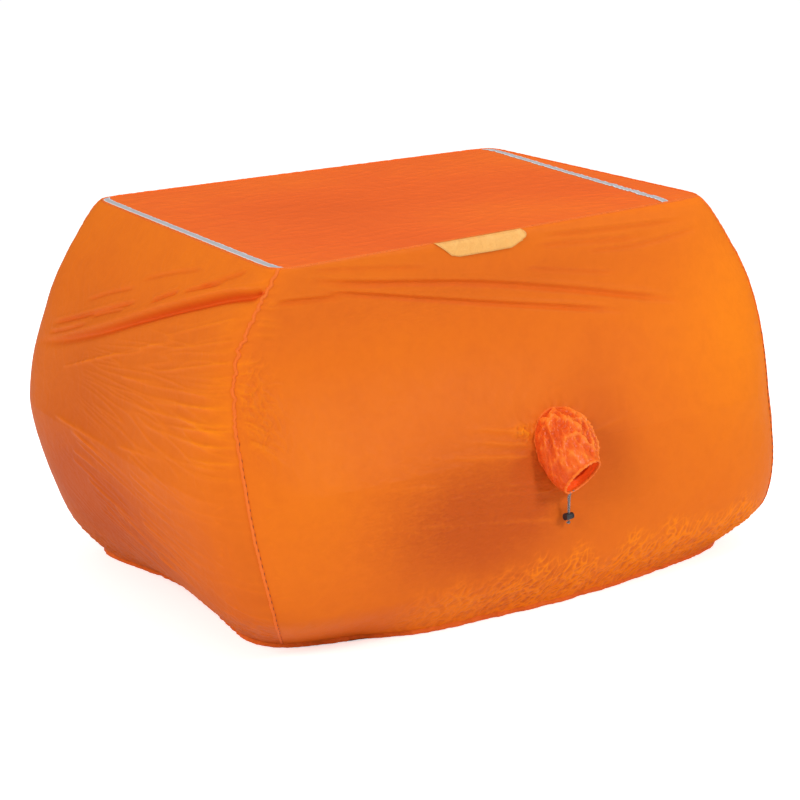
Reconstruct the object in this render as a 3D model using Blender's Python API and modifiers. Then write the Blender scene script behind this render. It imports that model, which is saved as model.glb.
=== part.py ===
"""An emergency group shelter: a bottomless box of thin nylon that people pull over themselves and hold up.

Metres, +Z up, front towards -Y.  The origin is on the ground under the middle of the shelter.
Cloth is drawn a few millimetres thick, so that each panel is a solid of its own.
"""

import math

import bmesh
import bpy
from mathutils import Matrix, Vector

# Driving dimensions
HEIGHT = 0.95
ROOF_LENGTH, ROOF_WIDTH = 1.29, 0.89
SHOULDER_LENGTH, SHOULDER_WIDTH = 1.49, 0.95
BELLY_LENGTH, BELLY_WIDTH = 1.55, 1.09
SKIRT_LENGTH, SKIRT_WIDTH = 1.48, 1.03
HEM_LENGTH, HEM_WIDTH = 1.28, 0.90
CORNER_SHARPNESS_LOW, CORNER_SHARPNESS_ROOF = 7.3, 24.0
SHOULDER_OUT, SHOULDER_DROP = 0.014, 0.067
CLOTH = 0.002
SEAM_RADIUS = 0.003
GAP = 0.0003
FACET = 0.0008
SEAM_ROOM = SEAM_RADIUS + GAP + FACET

# Height as a share of the whole, and length and width there, from the hem up to the roof
LEVELS = (0.0, 0.15, 0.45, 0.75, 1.0)
LENGTHS = (HEM_LENGTH, SKIRT_LENGTH, BELLY_LENGTH, SHOULDER_LENGTH, ROOF_LENGTH)
WIDTHS = (HEM_WIDTH, SKIRT_WIDTH, BELLY_WIDTH, SHOULDER_WIDTH, ROOF_WIDTH)
# How far slack cloth carries each corner seam out (or in, below zero) at those heights, along X and along Y
CORNERS = {
    "front_left": (-1, -1, (-0.015, 0.0, 0.02, 0.015, 0.04), (-0.04, 0.05, 0.0, -0.035, 0.06)),
    "front_right": (1, -1, (0.015, 0.03, 0.02, 0.015, 0.0), (0.04, 0.065, 0.0, 0.02, -0.015)),
    "back_right": (1, 1, (0.01, -0.03, -0.03, -0.03, -0.025), (-0.03, -0.03, 0.0, 0.025, -0.02)),
    "back_left": (-1, 1, (-0.015, -0.02, -0.005, 0.005, -0.01), (-0.03, -0.06, 0.0, -0.01, -0.025)),
}
ROUND = ("front_left", "front_right", "back_right", "back_left")
# How far the foot of each wall is kicked out in its middle, and the height over which that fades
FOOT_KICK = {"front": 0.075, "right": 0.0, "back": 0.02, "left": -0.075}
KICK_HEIGHT = 0.28
# The main folds in the slack cloth: the wall, both ends as a share of its half length and a drop below the
# roof, then how deep and how wide the fold is
FOLDS = (
    ("left", (0.90, 0.085), (-0.70, 0.310), 0.030, 0.042),
    ("front", (-0.55, 0.070), (0.70, 0.234), 0.012, 0.034),
)

# Hem and cord channels, folded to a U
HEM_HEIGHT = 0.020
MOUTH_HEM_HEIGHT = 0.014
LEAF = 0.0015
CORD = 0.0036
CORD_PLAY = 0.0014
CHANNEL = CORD + CORD_PLAY

# Sewn-on pieces
TAPE_WIDTH = 0.025
TRIM = 0.0008
RIGHT_TAPE_INSET = 0.11
PATCH_LENGTH, PATCH_DROP, PATCH_OFFSET = 0.28, 0.040, -0.09
SEAT_LENGTH, SEAT_WIDTH, SEAT_THICKNESS = 1.0, 0.30, 0.003

# Vents: a sleeve sewn into a round hole in each long wall, just over its belly
VENT_OFFSET, VENT_OVER_BELLY = 0.060, 0.0025
VENT_HEIGHT = LEVELS[2] * HEIGHT + VENT_OVER_BELLY
VENT_RADIUS = 0.086
SLEEVE_REACH, SLEEVE_FALL = 0.084, 0.066
MOUTH_LENGTH, MOUTH_WIDTH = 0.118, 0.100
MOUTH_TILT, MOUTH_TURN, MOUTH_ROLL = math.radians(32), math.radians(14), math.radians(26)
SLEEVE_CLOTH = 0.0015
# How straight a sleeve leaves its seam and meets its mouth, and a cord its slot and its straight end
SLEEVE_HANDLE, SWING_HANDLE = 0.35, 0.4
CORD_BEND = 0.0075
STRAND = CORD / 2 + GAP
TAIL_STRAIGHT = 0.048
EXIT_ANGLE = math.radians(231)
TAIL_SWING, TAIL_DROP = 0.013, 0.016
HEM_TAIL_SWING = 0.032

# Cord lock: a barrel, and a plunger that a spring pushes out
LOCK_RADIUS, LOCK_WALL = 0.009, 0.0018
LOCK_BEHIND, LOCK_AHEAD = 0.012, 0.006
PLUNGER_TRAVEL = 0.0025
PLUNGER_BEHIND = 0.0045
HEAD_RADIUS, HEAD_THICKNESS = 0.008, 0.0025
FIT = 0.0003
SPRING_WIRE, SPRING_TURNS = 0.0006, 4
LOCK_TO_KNOT = 0.0165
KNOT_RADIUS = 0.0055

UP = Vector((0, 0, 1))
SQUARE_OUT = {
    "front": Vector((0, -1, 0)), "right": Vector((1, 0, 0)),
    "back": Vector((0, 1, 0)), "left": Vector((-1, 0, 0)),
}

# How finely the cloth is drawn
WALL_ROWS, SHOULDER_ROWS = 18, 4
COLUMNS = {"front": 16, "back": 16, "left": 12, "right": 12}
PATCH_STEPS = 10
SLEEVE_SIDES, SLEEVE_RINGS = 28, 5
SWING_STEPS, TAIL_STEPS = 8, 4
CORD_TURN = (60, 30, 0)
LOCK_SIDES, SPRING_SIDES = 20, 8
KNOT_SIDES, KNOT_RINGS = 12, 8
SHARP_ANGLE = math.radians(40)
# Small steps that directions are measured over, and how often a search halves its range
WALL_STEP, MOUTH_STEP = 0.002, 0.01
HALVINGS = 40
# How far the cutter of a vent's hole stands out on both sides of the wall
HOLE_REACH = 0.06

ORANGE = ((0.85, 0.19, 0.03), 0.45, 0.0)
ROOF_ORANGE = ((0.86, 0.20, 0.04), 0.45, 0.0)
SEAM_ORANGE = ((0.72, 0.14, 0.02), 0.6, 0.0)
SLEEVE_ORANGE = ((0.86, 0.13, 0.03), 0.35, 0.0)
SILVER = ((0.62, 0.63, 0.64), 0.3, 0.4)
AMBER = ((0.95, 0.5, 0.1), 0.5, 0.0)
BLACK_CLOTH = ((0.03, 0.03, 0.035), 0.7, 0.0)
CORD_GREY = ((0.25, 0.25, 0.26), 0.7, 0.0)
BLACK_PLASTIC = ((0.02, 0.02, 0.022), 0.4, 0.0)
STEEL = ((0.6, 0.6, 0.62), 0.3, 1.0)


# ---------------------------------------------------------------- scene helpers
def collection(name):
    made = bpy.data.collections.new(name)
    bpy.context.scene.collection.children.link(made)
    return made


def finish(node, look):
    colour, roughness, metallic = look
    material = bpy.data.materials.new(node.name + "_finish")
    material.use_nodes = True
    shader = material.node_tree.nodes["Principled BSDF"]
    shader.inputs["Base Color"].default_value = (*colour, 1)
    shader.inputs["Roughness"].default_value = roughness
    shader.inputs["Metallic"].default_value = metallic
    node.data.materials.append(material)


def anchor(name, place, parent=None):
    """An empty on a joint's axis, which the pieces that move there are parented to."""
    empty = bpy.data.objects.new(name, None)
    PARTS.objects.link(empty)
    empty.parent = parent
    bpy.context.view_layer.update()
    empty.location = place - (parent.matrix_world.translation if parent else Vector())
    bpy.context.view_layer.update()
    return empty


def add(name, data, look, parent=None):
    """A node whose data is drawn in world coordinates, hung on its parent without moving it."""
    node = bpy.data.objects.new(name, data)
    if parent:
        data.transform(Matrix.Translation(-parent.matrix_world.translation))
        node.parent = parent
    PARTS.objects.link(node)
    finish(node, look)
    return node


def mesh_of(name, points, faces, smooth=True):
    data = bpy.data.meshes.new(name)
    data.from_pydata([tuple(p) for p in points], [], faces)
    data.update()
    if smooth:
        data.shade_smooth()
        data.set_sharp_from_angle(angle=SHARP_ANGLE)
    return data


def grid(name, rows, closed=False):
    """A lofted surface through rows of points, facing out where rows climb and points run anticlockwise."""
    across = len(rows[0])
    points = [p for row in rows for p in row]
    faces = []
    for i in range(len(rows) - 1):
        for j in range(across if closed else across - 1):
            k = (j + 1) % across
            faces.append((i * across + j, i * across + k, (i + 1) * across + k, (i + 1) * across + j))
    return mesh_of(name, points, faces)


def thicken(node, thickness, offset=-1.0):
    solid = node.modifiers.new("thickness", "SOLIDIFY")
    solid.thickness = thickness
    solid.offset = offset
    solid.use_even_offset = True


def cut(node, cutter):
    knife = node.modifiers.new("cut_" + cutter.name, "BOOLEAN")
    knife.operation = "DIFFERENCE"
    knife.solver = "EXACT"
    knife.object = cutter


def cutter_of(name, data, matrix):
    data.transform(matrix)
    cutter = bpy.data.objects.new(name, data)
    cutter.hide_render = True
    cutter.display_type = "WIRE"
    CUTTERS.objects.link(cutter)
    return cutter


def cylinder(name, radius, low, high, segments=LOCK_SIDES):
    """A closed cylinder along local Z from low to high."""
    data = bpy.data.meshes.new(name)
    build = bmesh.new()
    bmesh.ops.create_cone(
        build, cap_ends=True, segments=segments, radius1=radius, radius2=radius, depth=high - low,
        matrix=Matrix.Translation((0, 0, (low + high) / 2)),
    )
    build.to_mesh(data)
    build.free()
    return data


def box(name, size):
    data = bpy.data.meshes.new(name)
    build = bmesh.new()
    bmesh.ops.create_cube(build, size=1.0, matrix=Matrix.Diagonal((*size, 1)))
    build.to_mesh(data)
    build.free()
    return data


def tube(name, points, radius, look, parent=None, resolution=1):
    curve = bpy.data.curves.new(name, "CURVE")
    curve.dimensions = "3D"
    curve.bevel_depth = radius
    curve.bevel_resolution = resolution
    curve.use_fill_caps = True
    line = curve.splines.new("POLY")
    line.points.add(len(points) - 1)
    for knot, p in zip(line.points, points):
        knot.co = (*p, 1)
    return add(name, curve, look, parent)


def ring_tube(name, points, radius, look, parent=None, sides=6):
    """A closed ring of round section through the points."""
    count = len(points)
    rows = []
    for i, p in enumerate(points):
        along = (points[(i + 1) % count] - points[i - 1]).normalized()
        out = (p - sum(points, Vector()) / count).normalized()
        out = (out - along * out.dot(along)).normalized()
        across = along.cross(out)
        turns = [2 * math.pi * k / sides for k in range(sides)]
        rows.append([p + radius * (math.cos(t) * out + math.sin(t) * across) for t in turns])
    return add(name, grid(name, rows + rows[:1], closed=True), look, parent)


def frame_of(origin, x, y, z):
    """The matrix that carries local axes onto x, y and z at origin."""
    matrix = Matrix((x, y, z)).transposed().to_4x4()
    matrix.translation = origin
    return matrix


# ---------------------------------------------------------------- shape of the shelter
def smooth_value(x, xs, ys):
    """The value at x of a smooth curve through the points (xs, ys)."""
    last = len(xs) - 1
    i = min(max(sum(x >= k for k in xs) - 1, 0), last - 1)

    def slope(k):
        a, b = max(k - 1, 0), min(k + 1, last)
        return (ys[b] - ys[a]) / (xs[b] - xs[a])

    h = xs[i + 1] - xs[i]
    t = (x - xs[i]) / h
    return (
        (2 * t**3 - 3 * t**2 + 1) * ys[i] + (t**3 - 2 * t**2 + t) * h * slope(i)
        + (3 * t**2 - 2 * t**3) * ys[i + 1] + (t**3 - t**2) * h * slope(i + 1)
    )


def corner_point(corner, z):
    """Where a corner seam passes height z.  Just under the roof the seam steps out over the shoulder."""
    sx, sy, slack_x, slack_y = CORNERS[corner]
    level = z / HEIGHT
    below = min((HEIGHT - z) / SHOULDER_DROP, 1)
    step = SHOULDER_OUT * math.sqrt(max(0.0, 1 - (1 - below) ** 2))
    half_length = [size / 2 + slack for size, slack in zip(LENGTHS, slack_x)]
    half_width = [size / 2 + slack for size, slack in zip(WIDTHS, slack_y)]
    x = smooth_value(level, LEVELS, half_length) + step
    y = smooth_value(level, LEVELS, half_width) + step
    return Vector((sx * x, sy * y, z))


def bulge(t, z):
    """How far out a wall stands at share t of its half length: 1 at its corners, more between them."""
    belly = LEVELS[2] * HEIGHT
    rise = min(max((z - belly) / (HEIGHT - belly), 0), 1)
    n = CORNER_SHARPNESS_LOW + (CORNER_SHARPNESS_ROOF - CORNER_SHARPNESS_LOW) * rise
    return (2 - abs(t) ** n) ** (1 / n)


def shell_point(u, v, z):
    """The point of the section at height z, with u and v running from -1 to 1 between the corners."""
    weights = ((1 - u) * (1 - v), (1 + u) * (1 - v), (1 + u) * (1 + v), (1 - u) * (1 + v))
    return sum((corner_point(c, z) * w / 4 for c, w in zip(ROUND, weights)), Vector())


def wall_point(side, t, z):
    """A point of a wall, with t running anticlockwise from -1 at one corner seam to 1 at the next."""
    out = bulge(t, z)
    u, v = {"front": (t, -out), "right": (out, t), "back": (-t, out), "left": (-out, -t)}[side]
    kick = FOOT_KICK[side] * max(0.0, 1 - z / KICK_HEIGHT) ** 2 * (1 - t * t) ** 2
    return shell_point(u, v, z) + SQUARE_OUT[side] * kick


def wall_out(side, t, z):
    """The horizontal direction square to a wall, away from the shelter."""
    along = wall_point(side, min(t + WALL_STEP, 1), z) - wall_point(side, max(t - WALL_STEP, -1), z)
    return along.cross(UP).normalized()


def half_size(side, z):
    """Half the distance between a wall's two corner seams at height z."""
    return (wall_point(side, 1, z) - wall_point(side, -1, z)).length / 2


def roof_point(a, b):
    """A point of the roof panel, which stops short of the seams all round."""
    room = SEAM_ROOM
    across = 1 - room / half_size("front", HEIGHT)
    deep = 1 - room / half_size("right", HEIGHT)
    return shell_point(a * bulge(b, HEIGHT) * across, b * bulge(a, HEIGHT) * deep, HEIGHT)


def set_back(curve, start, stop, distance):
    """The parameter, from start towards stop, where curve has moved away from its start by distance."""
    low, high = start, stop
    for _ in range(HALVINGS):
        middle = (low + high) / 2
        if (curve(middle) - curve(start)).length < distance:
            low = middle
        else:
            high = middle
    return high


def shoulder_height(angle):
    """The height of the point at this angle of the shoulder's quarter round, which is 0 at the roof seam."""
    return HEIGHT - SHOULDER_DROP * (1 - math.cos(angle))


def shoulder_rows(first):
    """The heights of the rows over the shoulder, from its foot up to the angle first."""
    turn = math.pi / 2 - first
    return [shoulder_height(math.pi / 2 - turn * i / SHOULDER_ROWS) for i in range(1, SHOULDER_ROWS + 1)]


def wall_heights(side, t):
    """The heights of a wall's rows in one column, from just over the hem to just beside the roof seam."""
    low, high = HEM_HEIGHT + GAP, shoulder_height(math.pi / 2)
    rows = [low + (high - low) * i / WALL_ROWS for i in range(WALL_ROWS + 1)]

    def profile(angle):
        z = shoulder_height(angle)
        return Vector((wall_point(side, t, z).dot(SQUARE_OUT[side]), z))

    first = set_back(profile, 0, math.pi / 2, SEAM_ROOM)
    return rows + shoulder_rows(first)


def shares(side, low=-1.0, high=1.0):
    """The places of a wall's columns, from low to high, closer together near its corners, where it turns.

    Seams, hem and roof use the same places, so that their facets follow the wall's.
    """
    count = COLUMNS[side]
    inner = [math.sin(math.pi / 2 * (2 * i / count - 1)) for i in range(1, count)]
    return [low, *inner, high]


def fold_depth(side, t, z):
    """How far the folds carry a point of a wall inwards.  A fold fades out at its ends and at the seams."""
    half = half_size(side, z)
    depth = 0.0
    for fold_side, start, end, deepest, width in FOLDS:
        if fold_side != side:
            continue
        a, b = (Vector((share * half, HEIGHT - drop)) for share, drop in (start, end))
        run = b - a
        along = (Vector((t * half, z)) - a).dot(run) / run.length_squared
        nearest = a + run * min(max(along, 0), 1)
        away = (Vector((t * half, z)) - nearest).length / width
        depth += deepest * math.exp(-away * away) * (1 - t**4) * min(1, (HEIGHT - z) / SHOULDER_DROP)
    return depth


def wall(side, name):
    columns = []
    for t in shares(side):
        heights = wall_heights(side, t)
        if abs(t) == 1:
            beside = [set_back(lambda s: wall_point(side, s, z), t, 0, SEAM_ROOM) for z in heights]
        else:
            beside = [t] * len(heights)
        column = []
        for s, z in zip(beside, heights):
            column.append(wall_point(side, s, z) - SQUARE_OUT[side] * fold_depth(side, t, z))
        columns.append(column)
    node = add(name, grid(name, list(zip(*columns))), ORANGE)
    thicken(node, CLOTH)
    return node


def roof():
    rows = [[roof_point(a, b) for a in shares("front")] for b in shares("right")]
    node = add("roof_panel", grid("roof_panel", rows), ROOF_ORANGE)
    thicken(node, CLOTH)


def roof_seams():
    """A rolled seam along each roof edge.  The two short ones stop beside the long ones."""
    for name, side in (("front_roof_seam", "front"), ("back_roof_seam", "back")):
        tube(name, [wall_point(side, t, HEIGHT) for t in shares(side)], SEAM_RADIUS, SEAM_ORANGE)
    room = 2 * SEAM_RADIUS + GAP
    for name, side in (("left_roof_seam", "left"), ("right_roof_seam", "right")):
        end = set_back(lambda t: wall_point(side, t, HEIGHT), 1, 0, room)
        line = [wall_point(side, t, HEIGHT) for t in shares(side, -end, end)]
        tube(name, line, SEAM_RADIUS, SEAM_ORANGE)


def corner_seams():
    low = HEM_HEIGHT + SEAM_RADIUS + GAP
    for corner in ROUND:
        def over_shoulder(angle):
            return corner_point(corner, shoulder_height(angle))

        first = set_back(over_shoulder, 0, math.pi / 2, 2 * SEAM_RADIUS + GAP)
        high = shoulder_height(math.pi / 2)
        heights = [low + (high - low) * i / WALL_ROWS for i in range(WALL_ROWS + 1)]
        line = [corner_point(corner, z) for z in heights + shoulder_rows(first)]
        tube(corner + "_corner_seam", line, SEAM_RADIUS, SEAM_ORANGE)


def reflective_tapes():
    """A strip sewn on the roof along each short edge.  The right one leaves its edge towards the front."""
    half = half_size("front", HEIGHT)
    tapes = (("left_reflective_tape", -1, 0.0), ("right_reflective_tape", 1, RIGHT_TAPE_INSET))
    for name, edge, inset in tapes:
        rows = []
        for b in shares("right"):
            outer = 1 - inset * (1 - b) / 2 / half
            across = sorted((edge * outer, edge * (outer - TAPE_WIDTH / half)))
            rows.append([roof_point(a, b) + UP * GAP for a in across])
        node = add(name, grid(name, rows), SILVER)
        thicken(node, TRIM, offset=1.0)


def label_patch():
    """A plain patch on the front wall, hung from the roof seam over the shoulder."""
    half = half_size("front", HEIGHT)
    middle, reach = PATCH_OFFSET / half, PATCH_LENGTH / 2 / half
    heights = [z for z in wall_heights("front", middle) if z > HEIGHT - PATCH_DROP]
    heights.insert(0, HEIGHT - PATCH_DROP)
    places = [middle - reach + 2 * reach * i / PATCH_STEPS for i in range(PATCH_STEPS + 1)]
    rows = []
    for z in heights:
        rows.append([wall_point("front", t, z) + (wall_out("front", t, z) + UP) * 2 * GAP for t in places])
    node = add("front_label_patch", grid("front_label_patch", rows), AMBER)
    thicken(node, TRIM, offset=1.0)


# ---------------------------------------------------------------- folded channels and their drawcords
def channel(name, stations, height, look, parent=None):
    """A closed channel folded to a U.  A station is a point of its outer face, the way out and up."""
    width = 2 * LEAF + CHANNEL
    section = (
        (0, 0), (0, height), (-LEAF, height), (-LEAF, LEAF),
        (LEAF - width, LEAF), (LEAF - width, height), (-width, height), (-width, 0),
    )
    rows = [[p + out * x + up * y for x, y in section] for p, out, up in stations]
    return add(name, grid(name, rows[::-1] + rows[-1:], closed=True), look, parent)


def cord_line(station):
    """Where the cord lies in its channel at a station."""
    p, out, up = station
    return p - out * (LEAF + CHANNEL / 2) + up * (LEAF + CORD / 2 + GAP)


def along_of(stations, i):
    return (stations[(i + 1) % len(stations)][0] - stations[i - 1][0]).normalized()


def exit_slot(node, stations, i, way):
    """The slot in a channel's outer leaf (way 1) or inner leaf (way -1) that both cord ends leave by."""
    p, out, up = stations[i]
    along = along_of(stations, i)
    middle = cord_line(stations[i]) + out * way * (CHANNEL + LEAF) / 2
    size = (2 * (STRAND + CORD_BEND) + CORD / 2, LEAF + CHANNEL / 2, CORD + 2 * FIT)
    turn = frame_of(middle, along, out * way, along.cross(out * way))
    cut(node, cutter_of(node.name + "_slot", box(node.name + "_slot", size), turn))


def bezier(a, b, c, d, count):
    steps = [i / count for i in range(count + 1)]
    return [a * (1 - t) ** 3 + b * 3 * t * (1 - t) ** 2 + c * 3 * t * t * (1 - t) + d * t**3 for t in steps]


def drawcord(name, stations, i, way, tail_start, tail_way, tail_spread, look, parent=None):
    """One cord that runs round its channel, leaves by the slot at station i and hangs in two strands.

    Both strands turn out of the channel, swing to tail_start and run straight along tail_way.
    """
    leave = stations[i][1] * way
    along = along_of(stations, i)
    corner = cord_line(stations[i])
    swing_from = corner + leave * CORD_BEND
    handle = (tail_start - swing_from).length * SWING_HANDLE
    swing = bezier(
        swing_from, swing_from + leave * handle, tail_start - tail_way * handle, tail_start, SWING_STEPS,
    )
    straight = [tail_start + tail_way * TAIL_STRAIGHT * k / TAIL_STEPS for k in range(1, TAIL_STEPS + 1)]
    middle = swing + straight
    strands = []
    for side in (-1, 1):
        points = []
        for k, p in enumerate(middle):
            share = min(k / (len(swing) - 1), 1)
            points.append(p + (along * (1 - share) + tail_spread * share).normalized() * STRAND * side)
        beside = (cord_line(stations[(i + side) % len(stations)]) - corner).normalized()
        turn = []
        for angle in CORD_TURN:
            a = math.radians(angle)
            aside = STRAND + CORD_BEND * (1 - math.sin(a))
            turn.append(corner + beside * aside + leave * CORD_BEND * (1 - math.cos(a)))
        strands.append(points[::-1] + turn)
    count = len(stations)
    round_it = [cord_line(stations[(i + k) % count]) for k in range(1, count)]
    return tube(name, strands[1] + round_it + strands[0][::-1], CORD / 2, look, parent)


def cord_lock(prefix, place, cord_way, across, parent):
    """A barrel lock on two strands: its body, its plunger and the spring between them."""
    push = across.cross(cord_way)
    slide = anchor(prefix + "_slide", place, parent)
    turn = frame_of(place, across, cord_way, push)
    bore = LOCK_RADIUS - LOCK_WALL
    slot_across = 2 * STRAND + CORD + 2 * FIT
    slot_along = CORD + 2 * FIT

    def slot(name, length, middle):
        data = box(name, (slot_across, 4 * LOCK_RADIUS, length))
        return cutter_of(name, data, turn @ Matrix.Translation((0, 0, middle)))

    body = cylinder(prefix + "_body", LOCK_RADIUS, -LOCK_BEHIND, LOCK_AHEAD)
    body.transform(turn)
    body = add(prefix + "_body", body, BLACK_PLASTIC, slide)
    hollow = cylinder(prefix + "_bore", bore, LOCK_WALL - LOCK_BEHIND, 2 * LOCK_AHEAD)
    cut(body, cutter_of(prefix + "_bore", hollow, turn))
    cut(body, slot(prefix + "_body_slot", slot_along, 0))

    press = anchor(prefix + "_press", place, slide)
    head = LOCK_AHEAD + PLUNGER_TRAVEL + 2 * FIT
    build = bmesh.new()
    outline = (
        (0, head + HEAD_THICKNESS), (HEAD_RADIUS, head + HEAD_THICKNESS), (HEAD_RADIUS, head),
        (bore - FIT, head), (bore - FIT, -PLUNGER_BEHIND), (0, -PLUNGER_BEHIND),
    )
    profile = [build.verts.new((x, 0, z)) for x, z in outline]
    for a, b in zip(profile, profile[1:]):
        build.edges.new((a, b))
    bmesh.ops.spin(
        build, geom=build.verts[:] + build.edges[:], cent=(0, 0, 0), axis=(0, 0, 1),
        angle=2 * math.pi, steps=LOCK_SIDES, use_merge=True,
    )
    bmesh.ops.remove_doubles(build, verts=build.verts[:], dist=0.00001)
    bmesh.ops.recalc_face_normals(build, faces=build.faces[:])
    data = bpy.data.meshes.new(prefix + "_plunger")
    build.to_mesh(data)
    build.free()
    data.transform(turn)
    plunger = add(prefix + "_plunger", data, BLACK_PLASTIC, press)
    grip = -(CORD / 2 + FIT)
    length = slot_along + PLUNGER_TRAVEL
    cut(plunger, slot(prefix + "_plunger_slot", length, grip + length / 2))

    low = LOCK_WALL - LOCK_BEHIND + GAP + SPRING_WIRE / 2
    high = -PLUNGER_BEHIND - GAP - SPRING_WIRE / 2
    radius = bore - FIT - SPRING_WIRE
    count = SPRING_SIDES * SPRING_TURNS
    coil = []
    for k in range(count + 1):
        angle = 2 * math.pi * k / SPRING_SIDES
        rise = low + (high - low) * k / count
        coil.append(turn @ Vector((radius * math.cos(angle), radius * math.sin(angle), rise)))
    tube(prefix + "_spring", coil, SPRING_WIRE / 2, STEEL, slide)
    return slide


def knot(name, place, parent):
    """The knot that keeps the lock on the cord."""
    data = bpy.data.meshes.new(name)
    build = bmesh.new()
    bmesh.ops.create_uvsphere(build, u_segments=KNOT_SIDES, v_segments=KNOT_RINGS, radius=KNOT_RADIUS)
    build.to_mesh(data)
    build.free()
    data.transform(Matrix.Translation(place))
    data.shade_smooth()
    return add(name, data, CORD_GREY, parent)


def cord_end(prefix, tail_start, tail_way, tail_spread, parent):
    """The lock on the straight part of the two strands, and the knot that they end in."""
    knot_at = tail_start + tail_way * (TAIL_STRAIGHT + GAP + KNOT_RADIUS)
    cord_lock(prefix + "_cord_lock", knot_at - tail_way * LOCK_TO_KNOT, tail_way, tail_spread, parent)
    knot(prefix + "_cord_knot", knot_at, parent)


def hem():
    """The channel round the foot of the walls, flat underneath, with a drawcord that ends inside."""
    stations = []
    for side in ("front", "right", "back", "left"):
        for t in shares(side)[:-1]:
            p = wall_point(side, t, HEM_HEIGHT)
            out = wall_out(side, t, HEM_HEIGHT)
            stations.append((Vector((p.x, p.y, 0)), out, UP))
    node = channel("hem_channel", stations, HEM_HEIGHT, SEAM_ORANGE)
    i = COLUMNS["front"] + COLUMNS["right"] // 2
    exit_slot(node, stations, i, -1)
    inwards = -stations[i][1]
    start = cord_line(stations[i]) + inwards * HEM_TAIL_SWING
    start.z = LOCK_RADIUS + GAP
    drawcord("hem_drawcord", stations, i, -1, start, inwards, UP, CORD_GREY)
    cord_end("hem", start, inwards, UP, None)
    return stations


def seats():
    """A ground panel inside each long wall, sewn along the hem, to sit on."""
    inner = 2 * LEAF + CHANNEL + 2 * GAP
    for name, side in (("front_seat_panel", "front"), ("back_seat_panel", "back")):
        hem_line = []
        for t in shares(side):
            hem_line.append(wall_point(side, t, HEM_HEIGHT) - wall_out(side, t, HEM_HEIGHT) * inner)
        edge = []
        for a, b in zip(hem_line, hem_line[1:]):
            for end in (-SEAT_LENGTH / 2, SEAT_LENGTH / 2):
                if min(a.x, b.x) < end < max(a.x, b.x):
                    edge.append(a.lerp(b, (end - a.x) / (b.x - a.x)))
            if abs(b.x) < SEAT_LENGTH / 2:
                edge.append(b)
        into = -wall_out(side, 0, HEM_HEIGHT)
        outline = edge + [edge[-1] + into * SEAT_WIDTH, edge[0] + into * SEAT_WIDTH]
        curve = bpy.data.curves.new(name, "CURVE")
        curve.dimensions = "2D"
        curve.fill_mode = "BOTH"
        curve.extrude = SEAT_THICKNESS / 2
        border = curve.splines.new("POLY")
        border.points.add(len(outline) - 1)
        border.use_cyclic_u = True
        for point, p in zip(border.points, outline):
            point.co = (p.x, p.y, 0, 1)
        node = add(name, curve, BLACK_CLOTH)
        node.location.z = SEAT_THICKNESS / 2


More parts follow.
